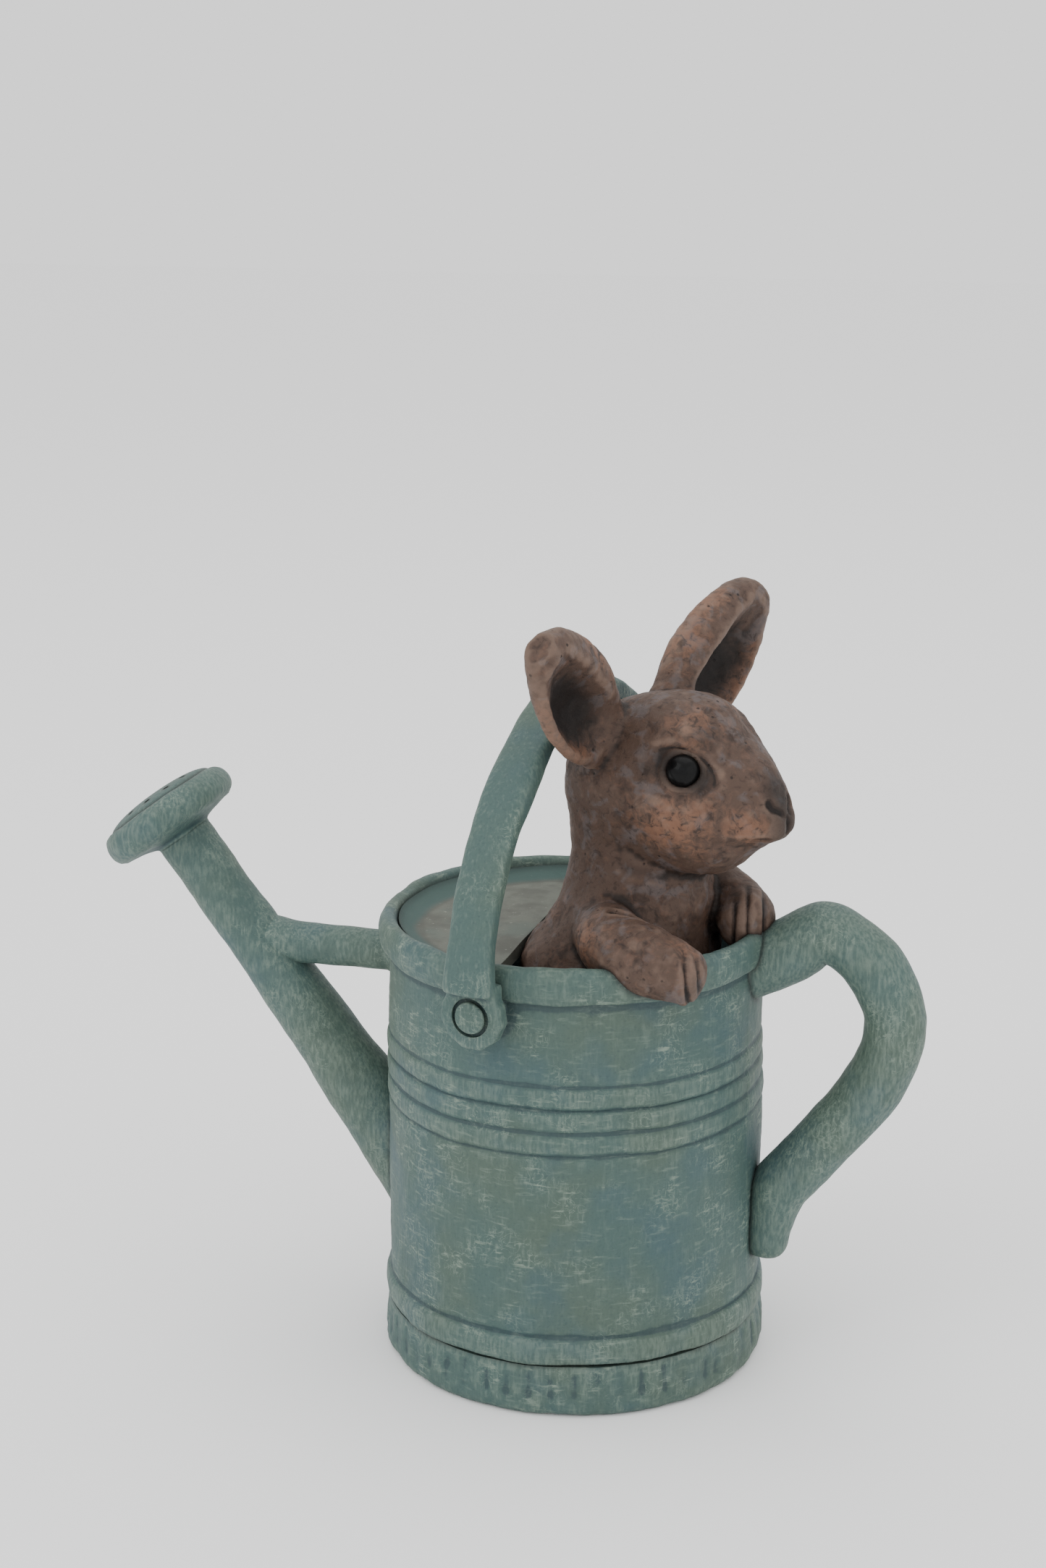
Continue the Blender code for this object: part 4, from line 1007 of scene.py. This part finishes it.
def ear_axes(side):
    """Root, direction, front and width of an ear."""
    back = EAR_STAGGER if side < 0 else 0.0
    root = at(EAR_ROOT[0] - back, side * EAR_ROOT[1], EAR_ROOT[2])
    along = Vector((EAR_LEAN[0], side * EAR_LEAN[1], EAR_LEAN[2])).normalized()
    front = Vector((1, -0.3, 0)) if side > 0 else Vector((1, 0, 0))
    front = (front - along * front.dot(along)).normalized()
    return root, along, front, along.cross(front).normalized()


def ear(side):
    """A thick leaf with a rolled edge, cupped on its front."""
    root, along, front, wide = ear_axes(side)
    steps = 60
    stations = []
    hollows = []
    for step in range(steps + 1):
        share = step / steps * 1.06 - 0.06
        fullness = sin(pi * (0.21 + 0.74 * max(share, 0))) ** 0.62
        stations.append((
            root + along * (EAR_LENGTH * MM * share),
            wide * (EAR_WIDTH / 2 * MM * fullness),
            front * (EAR_THICKNESS[side] / 2 * MM * (0.5 + 0.5 * fullness)),
        ))
        open_share = min(max((share - 0.05) / 0.84, 0.0), 1.0)
        hollows.append(max(0.0, sin(pi * open_share)) ** 0.6 * (1.15 - 0.35 * open_share))

    def cupped(turn, station):
        u = cos(turn)
        v = sin(turn)
        if v > 0:
            middle = EAR_TURN * side
            depth = EAR_HOLLOW[side] / (EAR_THICKNESS[side] / 2) * hollows[station]
            v -= depth * max(0.0, 1 - ((u - middle) / EAR_OPEN) ** 2) ** 1.1
        return u, v

    return skinned(stations, 64, cupped)


def foreleg(route, radii):
    points = smooth_path([at(*point) for point in route], 10)
    sizes = [float(size) * MM for size in np.interp(np.arange(len(points)) / 10, range(len(radii)), radii)]
    tip = points[-1]
    ahead = (points[-1] - points[-2]).normalized()
    for angle in [radians(12 * step) for step in range(1, 8)]:
        points.append(tip + ahead * (sizes[-1] * 0.98 * sin(angle)))
    sizes += [radii[-1] * MM * cos(radians(12 * step)) ** 0.7 for step in range(1, 8)]
    return bar(points, sizes, 48, Vector((0, 0, 1)))


NEAR_LEG = (
    [(13, -11, 2.5), (20, -18.8, 1.6), (28.8, -21.4, 0.9), (37.4, -20.3, -1.2)], [6.0, 6.4, 6.4, 5.3]
)
FAR_LEG = (
    [(10, 13, 5), (18, 14, 4.6), (26.4, 12.4, 3.2), (32.0, 9.0, 1.5)], [6.3, 6.3, 5.9, 6.1]
)


def figure():
    """All of the clay put together and melted into one skin."""
    whole = bmesh.new()
    for shape in (trunk(), skull(), ear(1), ear(-1), foreleg(*NEAR_LEG), foreleg(*FAR_LEG)):
        mesh = bpy.data.meshes.new("lump")
        shape.to_mesh(mesh)
        shape.free()
        whole.from_mesh(mesh)
        bpy.data.meshes.remove(mesh)
    return carved(whole, "rabbit_clay", [], VOXEL)


def shape_figure(clay):
    """Blend the joints of the clay and settle the big forms."""
    clay.smooth(np.ones(len(clay.points)), 6)
    nape = clay.near(at(6, 0, 20), 16 * MM)
    neck_sides = clay.near(at(10, -11, 17), 11 * MM) + clay.near(at(10, 11, 17), 11 * MM)
    shoulders = clay.near(at(8, -15, 8), 11 * MM) + clay.near(at(8, 15, 8), 11 * MM)
    clay.smooth(np.clip((nape + neck_sides + shoulders) * 1.6, 0, 1), 220)
    for side in (-1, 1):
        root, along = ear_axes(side)[:2]
        clay.smooth(np.clip(clay.near(root + along * 2 * MM, 9 * MM) * 1.8, 0, 1), 60)
    clay.push(clay.near(at(36, 0, 42), 13 * MM), -0.9 * MM)   # a flatter forehead
    for side in (-1, 1):
        clay.push(clay.near(at(37, side * 5, 39.5), 10 * MM), -1.1 * MM)
    clay.push(clay.near(at(6, 0, 41), 9 * MM), -0.6 * MM)   # the strap passes here and behind the ear
    clay.push(clay.near(at(8.3, -13, 39.5), 7.5 * MM), -1.1 * MM)
    forward = clay.points[:, 0] / MM
    height = clay.points[:, 2] / MM
    clay.points[:, 0] -= rise(36, 46, forward) * 1.4 * MM   # a blunt nose, full lips, the chin set back
    clay.points[:, 2] -= clay.near(at(43, 0, 22.5), 5.5 * MM) * 0.9 * MM
    clay.points[:, 0] -= rise(33, 43, forward) * rise(22.2, 19.6, height) * 2.6 * MM
    clay.smooth(clay.near(at(43, 0, 22), 6 * MM), 16)
    for side in (-1, 1):
        clay.push(clay.near(at(27, side * 13, 25), 10 * MM), 0.8 * MM)   # cheek, and the hollow before it
        clay.push(clay.near(at(37, side * 8.5, 30), 6 * MM), -0.5 * MM)


def eye_centre(side):
    x, y, z = EYE_PLACE
    return at(x, side * y, z)


def shape_eyes(clay):
    """Sockets, lids and the dark paint round the eyes, with painted shadow behind each eye and above its
    front.
    """
    for side in (-1, 1):
        centre = eye_centre(side)
        out = Vector((0.40, side * 0.86, 0.30)).normalized()
        level = (Vector((1, 0, 0)) - out * out.x).normalized()
        up = out.cross(level) * -side
        off = clay.points - np.array(centre)
        ahead = off @ np.array(level)
        above = off @ np.array(up)
        ring = np.hypot(ahead / 1.12, above) / MM
        tilted = np.hypot((ahead + above * 0.35) / 1.45, above) / MM
        outside = (off @ np.array(out) > -3 * MM) & (ring < 12)
        clay.push((1 - rise(3.4, 7.5, ring)) * outside, -1.0 * MM)   # socket, and the seat of the bead
        clay.push((1 - rise(2.6, 3.3, ring)) * outside, -1.2 * MM)
        clay.push(swell(ring, 3.6, 0.5) * outside, 0.45 * MM)   # lid
        upper = rise(-0.5, 2.5, (above + ahead * 0.5) / MM)
        clay.push(swell(tilted, 4.1, 0.35) * outside * upper, -0.3 * MM)   # crease and fold over it
        clay.push(swell(tilted, 4.9, 0.8) * outside * upper, 0.25 * MM)
        brow = [centre + level * 5 * MM + up * 5 * MM, centre + up * 7 * MM]
        clay.push(clay.along(brow, 3 * MM), 0.5 * MM)
        clay.paint("dark_paint_and_shade", (1 - rise(2.4, 4.9, tilted)) ** 0.7 * outside * 0.97)
        # painted shadow behind the eye and above its front
        corner = clay.near(centre - level * 6.5 * MM - up * 0.5 * MM + out * 2 * MM, 5 * MM)
        clay.paint("dark_paint_and_shade", corner * 0.75)
        clay.paint("dark_paint_and_shade", clay.near(centre + level * 3 * MM + up * 6.5 * MM, 4.5 * MM) * 0.6)


def shape_muzzle(clay):
    """Nostrils, split lip, mouth and whisker pads."""
    for side in (-1, 1):
        nostril = [at(43.0, side * 3.5, 27.6), at(43.8, side * 2.9, 26.6), at(44.6, side * 1.7, 25.6)]
        clay.push(clay.along(nostril, 1.3 * MM), -0.8 * MM)
        clay.paint("dark_paint_and_shade", clay.along(nostril, 1.7 * MM) * 0.9)
        clay.push(clay.near(at(43.8, side * 2.6, 23.8), 3.0 * MM), 0.6 * MM)
        mouth = [at(44.6, 0, 22.4), at(42.9, side * 3.2, 21.8), at(41.2, side * 5.2, 20.9)]
        clay.push(clay.along(mouth, 1.0 * MM), -0.35 * MM)
        # painted shade along the mouth's crease
        clay.paint("dark_paint_and_shade", clay.along(mouth, 1.1 * MM) * 0.4)
        corner = [at(39.4, side * 6.2, 19.8), at(36.0, side * 7.4, 18.5)]
        clay.push(clay.along(corner, 0.9 * MM), -0.25 * MM)
        # painted shade along the crease at the mouth's corner
        clay.paint("dark_paint_and_shade", clay.along(corner, 0.8 * MM) * 0.3)
    split = [at(45.4, 0, 26), at(44.8, 0, 22.5)]
    clay.push(clay.along(split, 0.8 * MM), -0.6 * MM)
    clay.paint("dark_paint_and_shade", clay.along([at(44.2, 0, 30), at(45.0, 0, 24)], 5.6 * MM) ** 0.5 * 0.85)


def shape_body(clay):
    """Creases of throat, chest and arms, toes, and the ragged fur of the back, with painted shade in the
    creases, toe grooves and ear hollows, on the low back and under the near paw.
    """
    throat = [
        at(29.4, 8, 11.5), at(30, 0, 10.9), at(27.6, -6.8, 11.8), at(23, -10.6, 12.8),
        at(17.8, -12.2, 13.8), at(14, -12.6, 15),
    ]
    clay.push(clay.along(throat[:4], 1.9 * MM), -0.7 * MM)
    clay.push(clay.along(throat[3:], 1.5 * MM), -0.25 * MM)
    # painted shade in the throat crease
    clay.paint("dark_paint_and_shade", clay.along(throat[:5], 1.8 * MM) * 0.55)
    arm_top = [at(20, -19, 8.4), at(25, -17.8, 7.6), at(30.6, -16.6, 6.0), at(34.6, -15.6, 3.0)]
    clay.push(clay.along(arm_top, 1.6 * MM), -0.9 * MM)
    # painted shade in the crease over the arm
    clay.paint("dark_paint_and_shade", clay.along(arm_top, 1.5 * MM) * 0.6)
    sideways = clay.points @ np.array((0.87, 0.49, 0)) / MM
    far_paw = clay.near(at(34, 6.0, 1.5), 9.5 * MM) ** 0.4 * rise(31, 32.5, clay.points[:, 0] / MM)
    # painted shade in the grooves between the toes
    for place in (29.9, 32.4, 35.6):
        toe = swell(sideways, place, 0.45) * far_paw
        clay.push(toe, -0.6 * MM)
        clay.paint("dark_paint_and_shade", toe * 0.85)
    # painted shadow under the near paw where it rests on the rim
    clay.paint("dark_paint_and_shade", clay.near(at(42, -22, -3), 6 * MM) * 0.5)
    near_paw = clay.near(at(40, -23.5, -2.5), 7.5 * MM) ** 0.4
    # painted shade in the grooves between the toes
    for place in (21.4, 23.6):
        toe = swell(sideways + clay.points[:, 2] / MM * 0.15, place, 0.4) * near_paw
        clay.push(toe, -0.6 * MM)
        clay.paint("dark_paint_and_shade", toe * 0.8)
    back = rise(2.0, -3.0, clay.points[:, 0] / MM) * rise(14.0, 2.0, clay.points[:, 2] / MM)
    before = clay.points.copy()
    clay.lumps(1.5 * MM, 0.55 * MM, 21, (1, 1, 0.3))
    clay.points = before + (clay.points - before) * back[:, None]
    # painted shade on the low back, where it goes down into the can
    clay.paint("dark_paint_and_shade", back * 0.35)
    # painted shade in the ear hollows, darkest where they are deepest
    for side in (-1, 1):
        root, along, front, wide = ear_axes(side)
        off = clay.points - np.array(root)
        length = off @ np.array(along) / MM
        cup = off @ np.array(front) / MM
        across = np.abs(off @ np.array(wide) / MM - EAR_TURN * side * EAR_WIDTH / 2)
        deep = rise(3.0, -1.0, cup) * rise(2, 7, length) * rise(25, 16, length) * rise(7.5, 3.0, across)
        clay.paint("dark_paint_and_shade", deep**0.7 * (cup > -EAR_THICKNESS[side] * 0.35))


def warm_figure(clay):
    """Where the tan brush went: cheeks, forearms, the back of the neck and ear edges."""
    for side in (-1, 1):
        clay.paint("warm", clay.near(at(29, side * 13, 24), 12 * MM) * 0.75)
        clay.paint("warm", clay.near(at(40, side * 7, 23), 7 * MM) * 0.7)
        clay.paint("warm", clay.near(at(30, side * 8, 41), 8 * MM) * 0.6)
        clay.paint("warm", clay.along([at(16, side * 22, 3), at(34, side * 20, 1)], 7 * MM) * 0.9)
        root, along, front, wide = ear_axes(side)
        for edge in (wide * MM, -wide * MM):
            route = [root + edge * 8 + along * 6 * MM, root + edge * 9 + along * 22 * MM]
            clay.paint("warm", clay.along(route, 6 * MM) * 0.7)
    clay.paint("warm", clay.along([at(-1, -8, 24), at(-2, -13, 6)], 8 * MM) * 0.8)


def rabbit_paint():
    """Grey-brown mottled with umber, dry-brushed tan, with pits and scratches left dark, and painted shade
    in the low places.
    """
    paint = Finish("rabbit_paint")
    relief = paint.mask("relief")
    warm = paint.mask("warm")
    strokes = paint.cloud(1.7 * MM, detail=5.0, roughness=0.65, swirl=0.8)
    patches = paint.cloud(6 * MM, detail=4.0, roughness=0.6)
    pit_sockets = {"Vector": paint.place, "Scale": 1 / (1.9 * MM)}
    pits = paint.node("ShaderNodeTexVoronoi", {}, pit_sockets, "Distance")
    pitted = pits.rise(0.2, 0.08) * paint.cloud(5 * MM).rise(0.5, 0.62)
    colour = paint.mixed(FUR_BROWN, FUR_UMBER, patches.rise(0.52, 0.68) * 0.8)
    colour = paint.mixed(colour, FUR_GREY, paint.cloud(4.5 * MM, swirl=0.6).rise(0.52, 0.64) * 0.7)
    tan = (strokes * 0.6 + patches * 0.4 + warm * 0.16).rise(0.5, 0.68)
    colour = paint.mixed(colour, FUR_TAN, tan * (warm * 0.6 + 0.22))
    colour = paint.mixed(colour, FUR_UMBER, strokes.rise(0.46, 0.34) * 0.6)
    colour = paint.mixed(colour, FUR_PALE, relief.rise(0.15, 0.9) * 0.45)
    # painted shade in the low places of the surface
    colour = paint.mixed(colour, FUR_DARK, (0 - relief).rise(0.08, 0.8) * 0.8)
    colour = paint.mixed(colour, FUR_DARK, pitted * 0.8)
    # dark paint and painted shade from the mask
    colour = paint.mixed(colour, FUR_DARK, paint.mask("dark_paint_and_shade") * 0.93)
    paint.join(colour, paint.shader.inputs["Base Color"])
    paint.join(0.78 - strokes * 0.25, paint.shader.inputs["Roughness"])
    paint.shader.inputs["Specular IOR Level"].default_value = 0.3
    surface = strokes * 0.7 + paint.cloud(0.4 * MM) * 0.35 - pitted * 0.8
    paint.join(paint.dented(surface, 0.28 * MM, 0.75), paint.shader.inputs["Normal"])
    return paint.material


clay = figure()
shape_figure(clay)
shape_eyes(clay)
shape_muzzle(clay)
shape_body(clay)
clay.lumps(7 * MM, 0.45 * MM, 22)
clay.lumps(2.2 * MM, 0.16 * MM, 23)
clay.lumps(0.9 * MM, 0.06 * MM, 24)
warm_figure(clay)


def limb_labels(clay):
    """1 on the near foreleg, 2 on the far one and 0 elsewhere."""
    labels = np.zeros(len(clay.points), dtype=np.int32)
    for number, (route, radii) in enumerate((NEAR_LEG, FAR_LEG), start=1):
        points = np.array([tuple(at(*point)) for point in route[1:]])
        reach = max(radii) * 1.12 * MM
        best = np.full(len(clay.points), 1.0)
        for start, end in zip(points, np.vstack([points[1:], points[-1:] * 2 - points[-2:-1]])):
            step = end - start
            share = np.clip((clay.points - start) @ step / (step @ step), 0, 1)
            best = np.minimum(best, np.linalg.norm(clay.points - start - share[:, None] * step, axis=1))
        ahead = clay.points[:, 0] > route[1][0] * MM
        inside = ((best < reach) & ahead).astype(float)[:, None]
        labels[clay.averaged(inside, 12)[:, 0] > 0.5] = number
    return labels


limbs = limb_labels(clay)
clay.placed(rabbit_place)
trunk_back = HOOD_EDGE_X + HOOD_GAP
behind = (clay.points[:, 2] < HOOD_TOP + 0.3 * MM) & (clay.points[:, 0] < trunk_back)
clay.points[behind, 0] = trunk_back
whole = masked(clay, rounds=18, height=0.2 * MM)
whole.attributes.new("limb", "INT", "POINT").data.foreach_set("value", limbs)


def slice_off(bm, place, outward):
    """Keep what lies on the outward side of a plane and close the cut."""
    place = rabbit_place @ place
    outward = rabbit_place.to_3x3() @ outward
    everything = bm.verts[:] + bm.edges[:] + bm.faces[:]
    cut = bmesh.ops.bisect_plane(bm, geom=everything, plane_co=place, plane_no=outward, clear_inner=True)
    edges = [item for item in cut["geom_cut"] if isinstance(item, bmesh.types.BMEdge)]
    bmesh.ops.edgeloop_fill(bm, edges=edges)


def keep_limb(bm, wanted):
    """Keep the faces of one limb, or with 0 what is left without the limbs."""
    label = bm.verts.layers.int["limb"]
    drop = []
    for face in bm.faces:
        found = {corner[label] for corner in face.verts}
        limb = found.pop() if len(found) == 1 else 0
        if limb != wanted:
            drop.append(face)
    bmesh.ops.delete(bm, geom=drop, context="FACES")
    bmesh.ops.holes_fill(bm, edges=[edge for edge in bm.edges if edge.is_boundary], sides=0)


def part(name, cuts, limb):
    """One casting of the figure, from its cuts or its limb label."""
    bm = bmesh.new()
    bm.from_mesh(whole)
    if limb is not None:
        keep_limb(bm, limb)
    for place, outward in cuts:
        slice_off(bm, place, outward)
    if name == "rabbit_torso":
        run_down(bm)
    mesh = bpy.data.meshes.new(name)
    bm.to_mesh(mesh)
    bm.free()
    mesh.shade_smooth()
    return mesh


def run_down(bm):
    """The hidden trunk, from the cut at its waist down to the pan's floor."""
    low = min(bm.faces, key=lambda face: face.calc_center_median().z)
    waist = low.calc_center_median()
    ring = list(low.edges)
    bmesh.ops.delete(bm, geom=[low], context="FACES_ONLY")
    for height, share in ((60 * MM, 0.98), (25 * MM, 0.88), (FLOOR + 0.3 * MM, 0.9)):
        made = bmesh.ops.extrude_edge_only(bm, edges=ring)["geom"]
        ring = [item for item in made if isinstance(item, bmesh.types.BMEdge)]
        for corner in {corner for edge in ring for corner in edge.verts}:
            corner.co = Vector((*(waist.xy + (corner.co.xy - waist.xy) * share), height))
    bmesh.ops.edgeloop_fill(bm, edges=ring)
    bmesh.ops.recalc_face_normals(bm, faces=bm.faces)


FUR_PAINT = rabbit_paint()
collar = at(28, 0, 11.5)
upwards = Vector((0.377, 0, 0.926))
ear_cuts = {}
for side in (-1, 1):
    root, along = ear_axes(side)[:2]
    ear_cuts[side] = (root + along * (EAR_PLANE * MM), along)
not_ears = [(place, -along) for place, along in ear_cuts.values()]
parts = {
    "rabbit_torso": ([(collar, -upwards), (at(0, 0, CUT_Z), Vector((0, 0, 1)))], 0),
    "rabbit_head": ([(collar, upwards)] + not_ears, None),
    "rabbit_left_ear": ([ear_cuts[1]], None),
    "rabbit_right_ear": ([ear_cuts[-1]], None),
    "rabbit_left_foreleg": ([], 2),
    "rabbit_right_foreleg": ([], 1),
}
for name, (cuts, limb) in parts.items():
    set_down(part(name, cuts, limb), "can", "rabbit_paint", FUR_PAINT, name, cast="rabbit")

# ---- Eyes ----------------------------------------------------------------------------
# Two black glass-like beads, pressed into the sockets while the clay was soft.
EYE_BLACK = chip(4, 4, 5)
EYE_GREY = chip(18, 19, 22)


def eye_gloss():
    """Black gloss paint, a little clouded and finely scratched."""
    paint = Finish("eye_gloss")
    cloud = paint.cloud(1.6 * MM, detail=4.0)
    colour = paint.mixed(EYE_BLACK, EYE_GREY, cloud.rise(0.5, 0.8) * 0.6)
    paint.join(colour, paint.shader.inputs["Base Color"])
    paint.join(0.3 + cloud * 0.25, paint.shader.inputs["Roughness"])
    paint.shader.inputs["Specular IOR Level"].default_value = 0.1
    paint.shader.inputs["Coat Weight"].default_value = 0.12
    paint.shader.inputs["Coat Roughness"].default_value = 0.1
    paint.join(paint.dented(paint.cloud(0.6 * MM), 0.03 * MM, 0.5), paint.shader.inputs["Normal"])
    return paint.material


GLOSS = eye_gloss()
for side, name in ((1, "rabbit_left_eye"), (-1, "rabbit_right_eye")):
    bm = bmesh.new()
    bmesh.ops.create_icosphere(bm, subdivisions=5, radius=EYE_R)
    place = rabbit_place @ Matrix.Translation(eye_centre(side))
    bmesh.ops.transform(bm, verts=bm.verts, matrix=place)
    set_down(masked(Clay(bm, name)), "can", "eye_gloss", GLOSS, name)

# ---- Painted shade -------------------------------------------------------------------
# Last, painted shade is laid in the corners where one casting meets another, darkest
# where they touch.
SHADE_REACH = 1.4 * MM


depsgraph = bpy.context.evaluated_depsgraph_get()
trees = {}
boxes = {}
for piece, cast in castings:
    trees[piece] = BVHTree.FromObject(piece, depsgraph)
    corners = np.array([tuple(corner) for corner in piece.bound_box])
    boxes[piece] = (corners.min(axis=0) - SHADE_REACH, corners.max(axis=0) + SHADE_REACH)
for piece, cast in castings:
    dark_paint_and_shade = np.empty(len(piece.data.vertices), dtype=np.float32)
    piece.data.attributes["dark_paint_and_shade"].data.foreach_get("value", dark_paint_and_shade)
    places = np.array([tuple(corner.co) for corner in piece.data.vertices])
    for other, other_cast in castings:
        if other_cast == cast:
            continue
        low, high = boxes[other]
        close = ((places >= low) & (places <= high)).all(axis=1)
        for index in np.flatnonzero(close):
            far = trees[other].find_nearest(places[index], SHADE_REACH)[3]
            if far is not None:
                dark_paint_and_shade[index] = max(dark_paint_and_shade[index], (1 - far / SHADE_REACH) ** 2)
    piece.data.attributes["dark_paint_and_shade"].data.foreach_set("value", dark_paint_and_shade)

# ---- Camera, floor and light ---------------------------------------------------------
# A product shot: a plain pale floor that runs off to white, and broad soft light from
# all round.
CAMERA_PLACE = (123.86 * MM, -462.26 * MM, 238.14 * MM)
CAMERA_TILT = radians(75.23)   # 90 degrees looks level
CAMERA_TURN = radians(16.21)
LENS = 60.34                   # focal length in millimetres
camera_data = bpy.data.cameras.new("camera")
camera_data.lens = LENS
camera = bpy.data.objects.new("camera", camera_data)
camera.location = CAMERA_PLACE
camera.rotation_euler = (CAMERA_TILT, 0, CAMERA_TURN)
bpy.context.collection.objects.link(camera)
bpy.context.scene.camera = camera

floor_mesh = bpy.data.meshes.new("floor")
floor_bm = bmesh.new()
bmesh.ops.create_grid(floor_bm, x_segments=1, y_segments=1, size=3.0)
floor_bm.to_mesh(floor_mesh)
floor_bm.free()
floor_white = bpy.data.materials.new("floor_white")
floor_white.use_nodes = True
floor_white.node_tree.nodes["Principled BSDF"].inputs["Base Color"].default_value = (0.98, 0.98, 0.98, 1)
floor_white.node_tree.nodes["Principled BSDF"].inputs["Roughness"].default_value = 1.0
floor_mesh.materials.append(floor_white)
floor = bpy.data.objects.new("floor", floor_mesh)
bpy.context.collection.objects.link(floor)
floor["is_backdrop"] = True

world = bpy.data.worlds.new("studio")
world.use_nodes = True
world.node_tree.nodes["Background"].inputs["Color"].default_value = (1.0, 1.0, 1.0, 1)
world.node_tree.nodes["Background"].inputs["Strength"].default_value = 1.3
bpy.context.scene.world = world
LAMP_AIM = Vector((0, 0, 80 * MM))   # the middle of the object


def soft_box(name, place, size, power):
    """A big square lamp that points at the object."""
    lamp = bpy.data.lights.new(name, "AREA")
    lamp.shape = "SQUARE"
    lamp.size = size
    lamp.energy = power
    stand = bpy.data.objects.new(name, lamp)
    stand.location = place
    stand.rotation_euler = (LAMP_AIM - Vector(place)).to_track_quat("-Z", "Y").to_euler()
    bpy.context.collection.objects.link(stand)


soft_box("key_light", (-0.5, -0.6, 0.75), 0.7, 2.6)
soft_box("fill_light", (0.8, -0.4, 0.4), 0.7, 0.8)
soft_box("top_light", (0.1, 0.2, 1.0), 0.9, 2.4)

low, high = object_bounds()
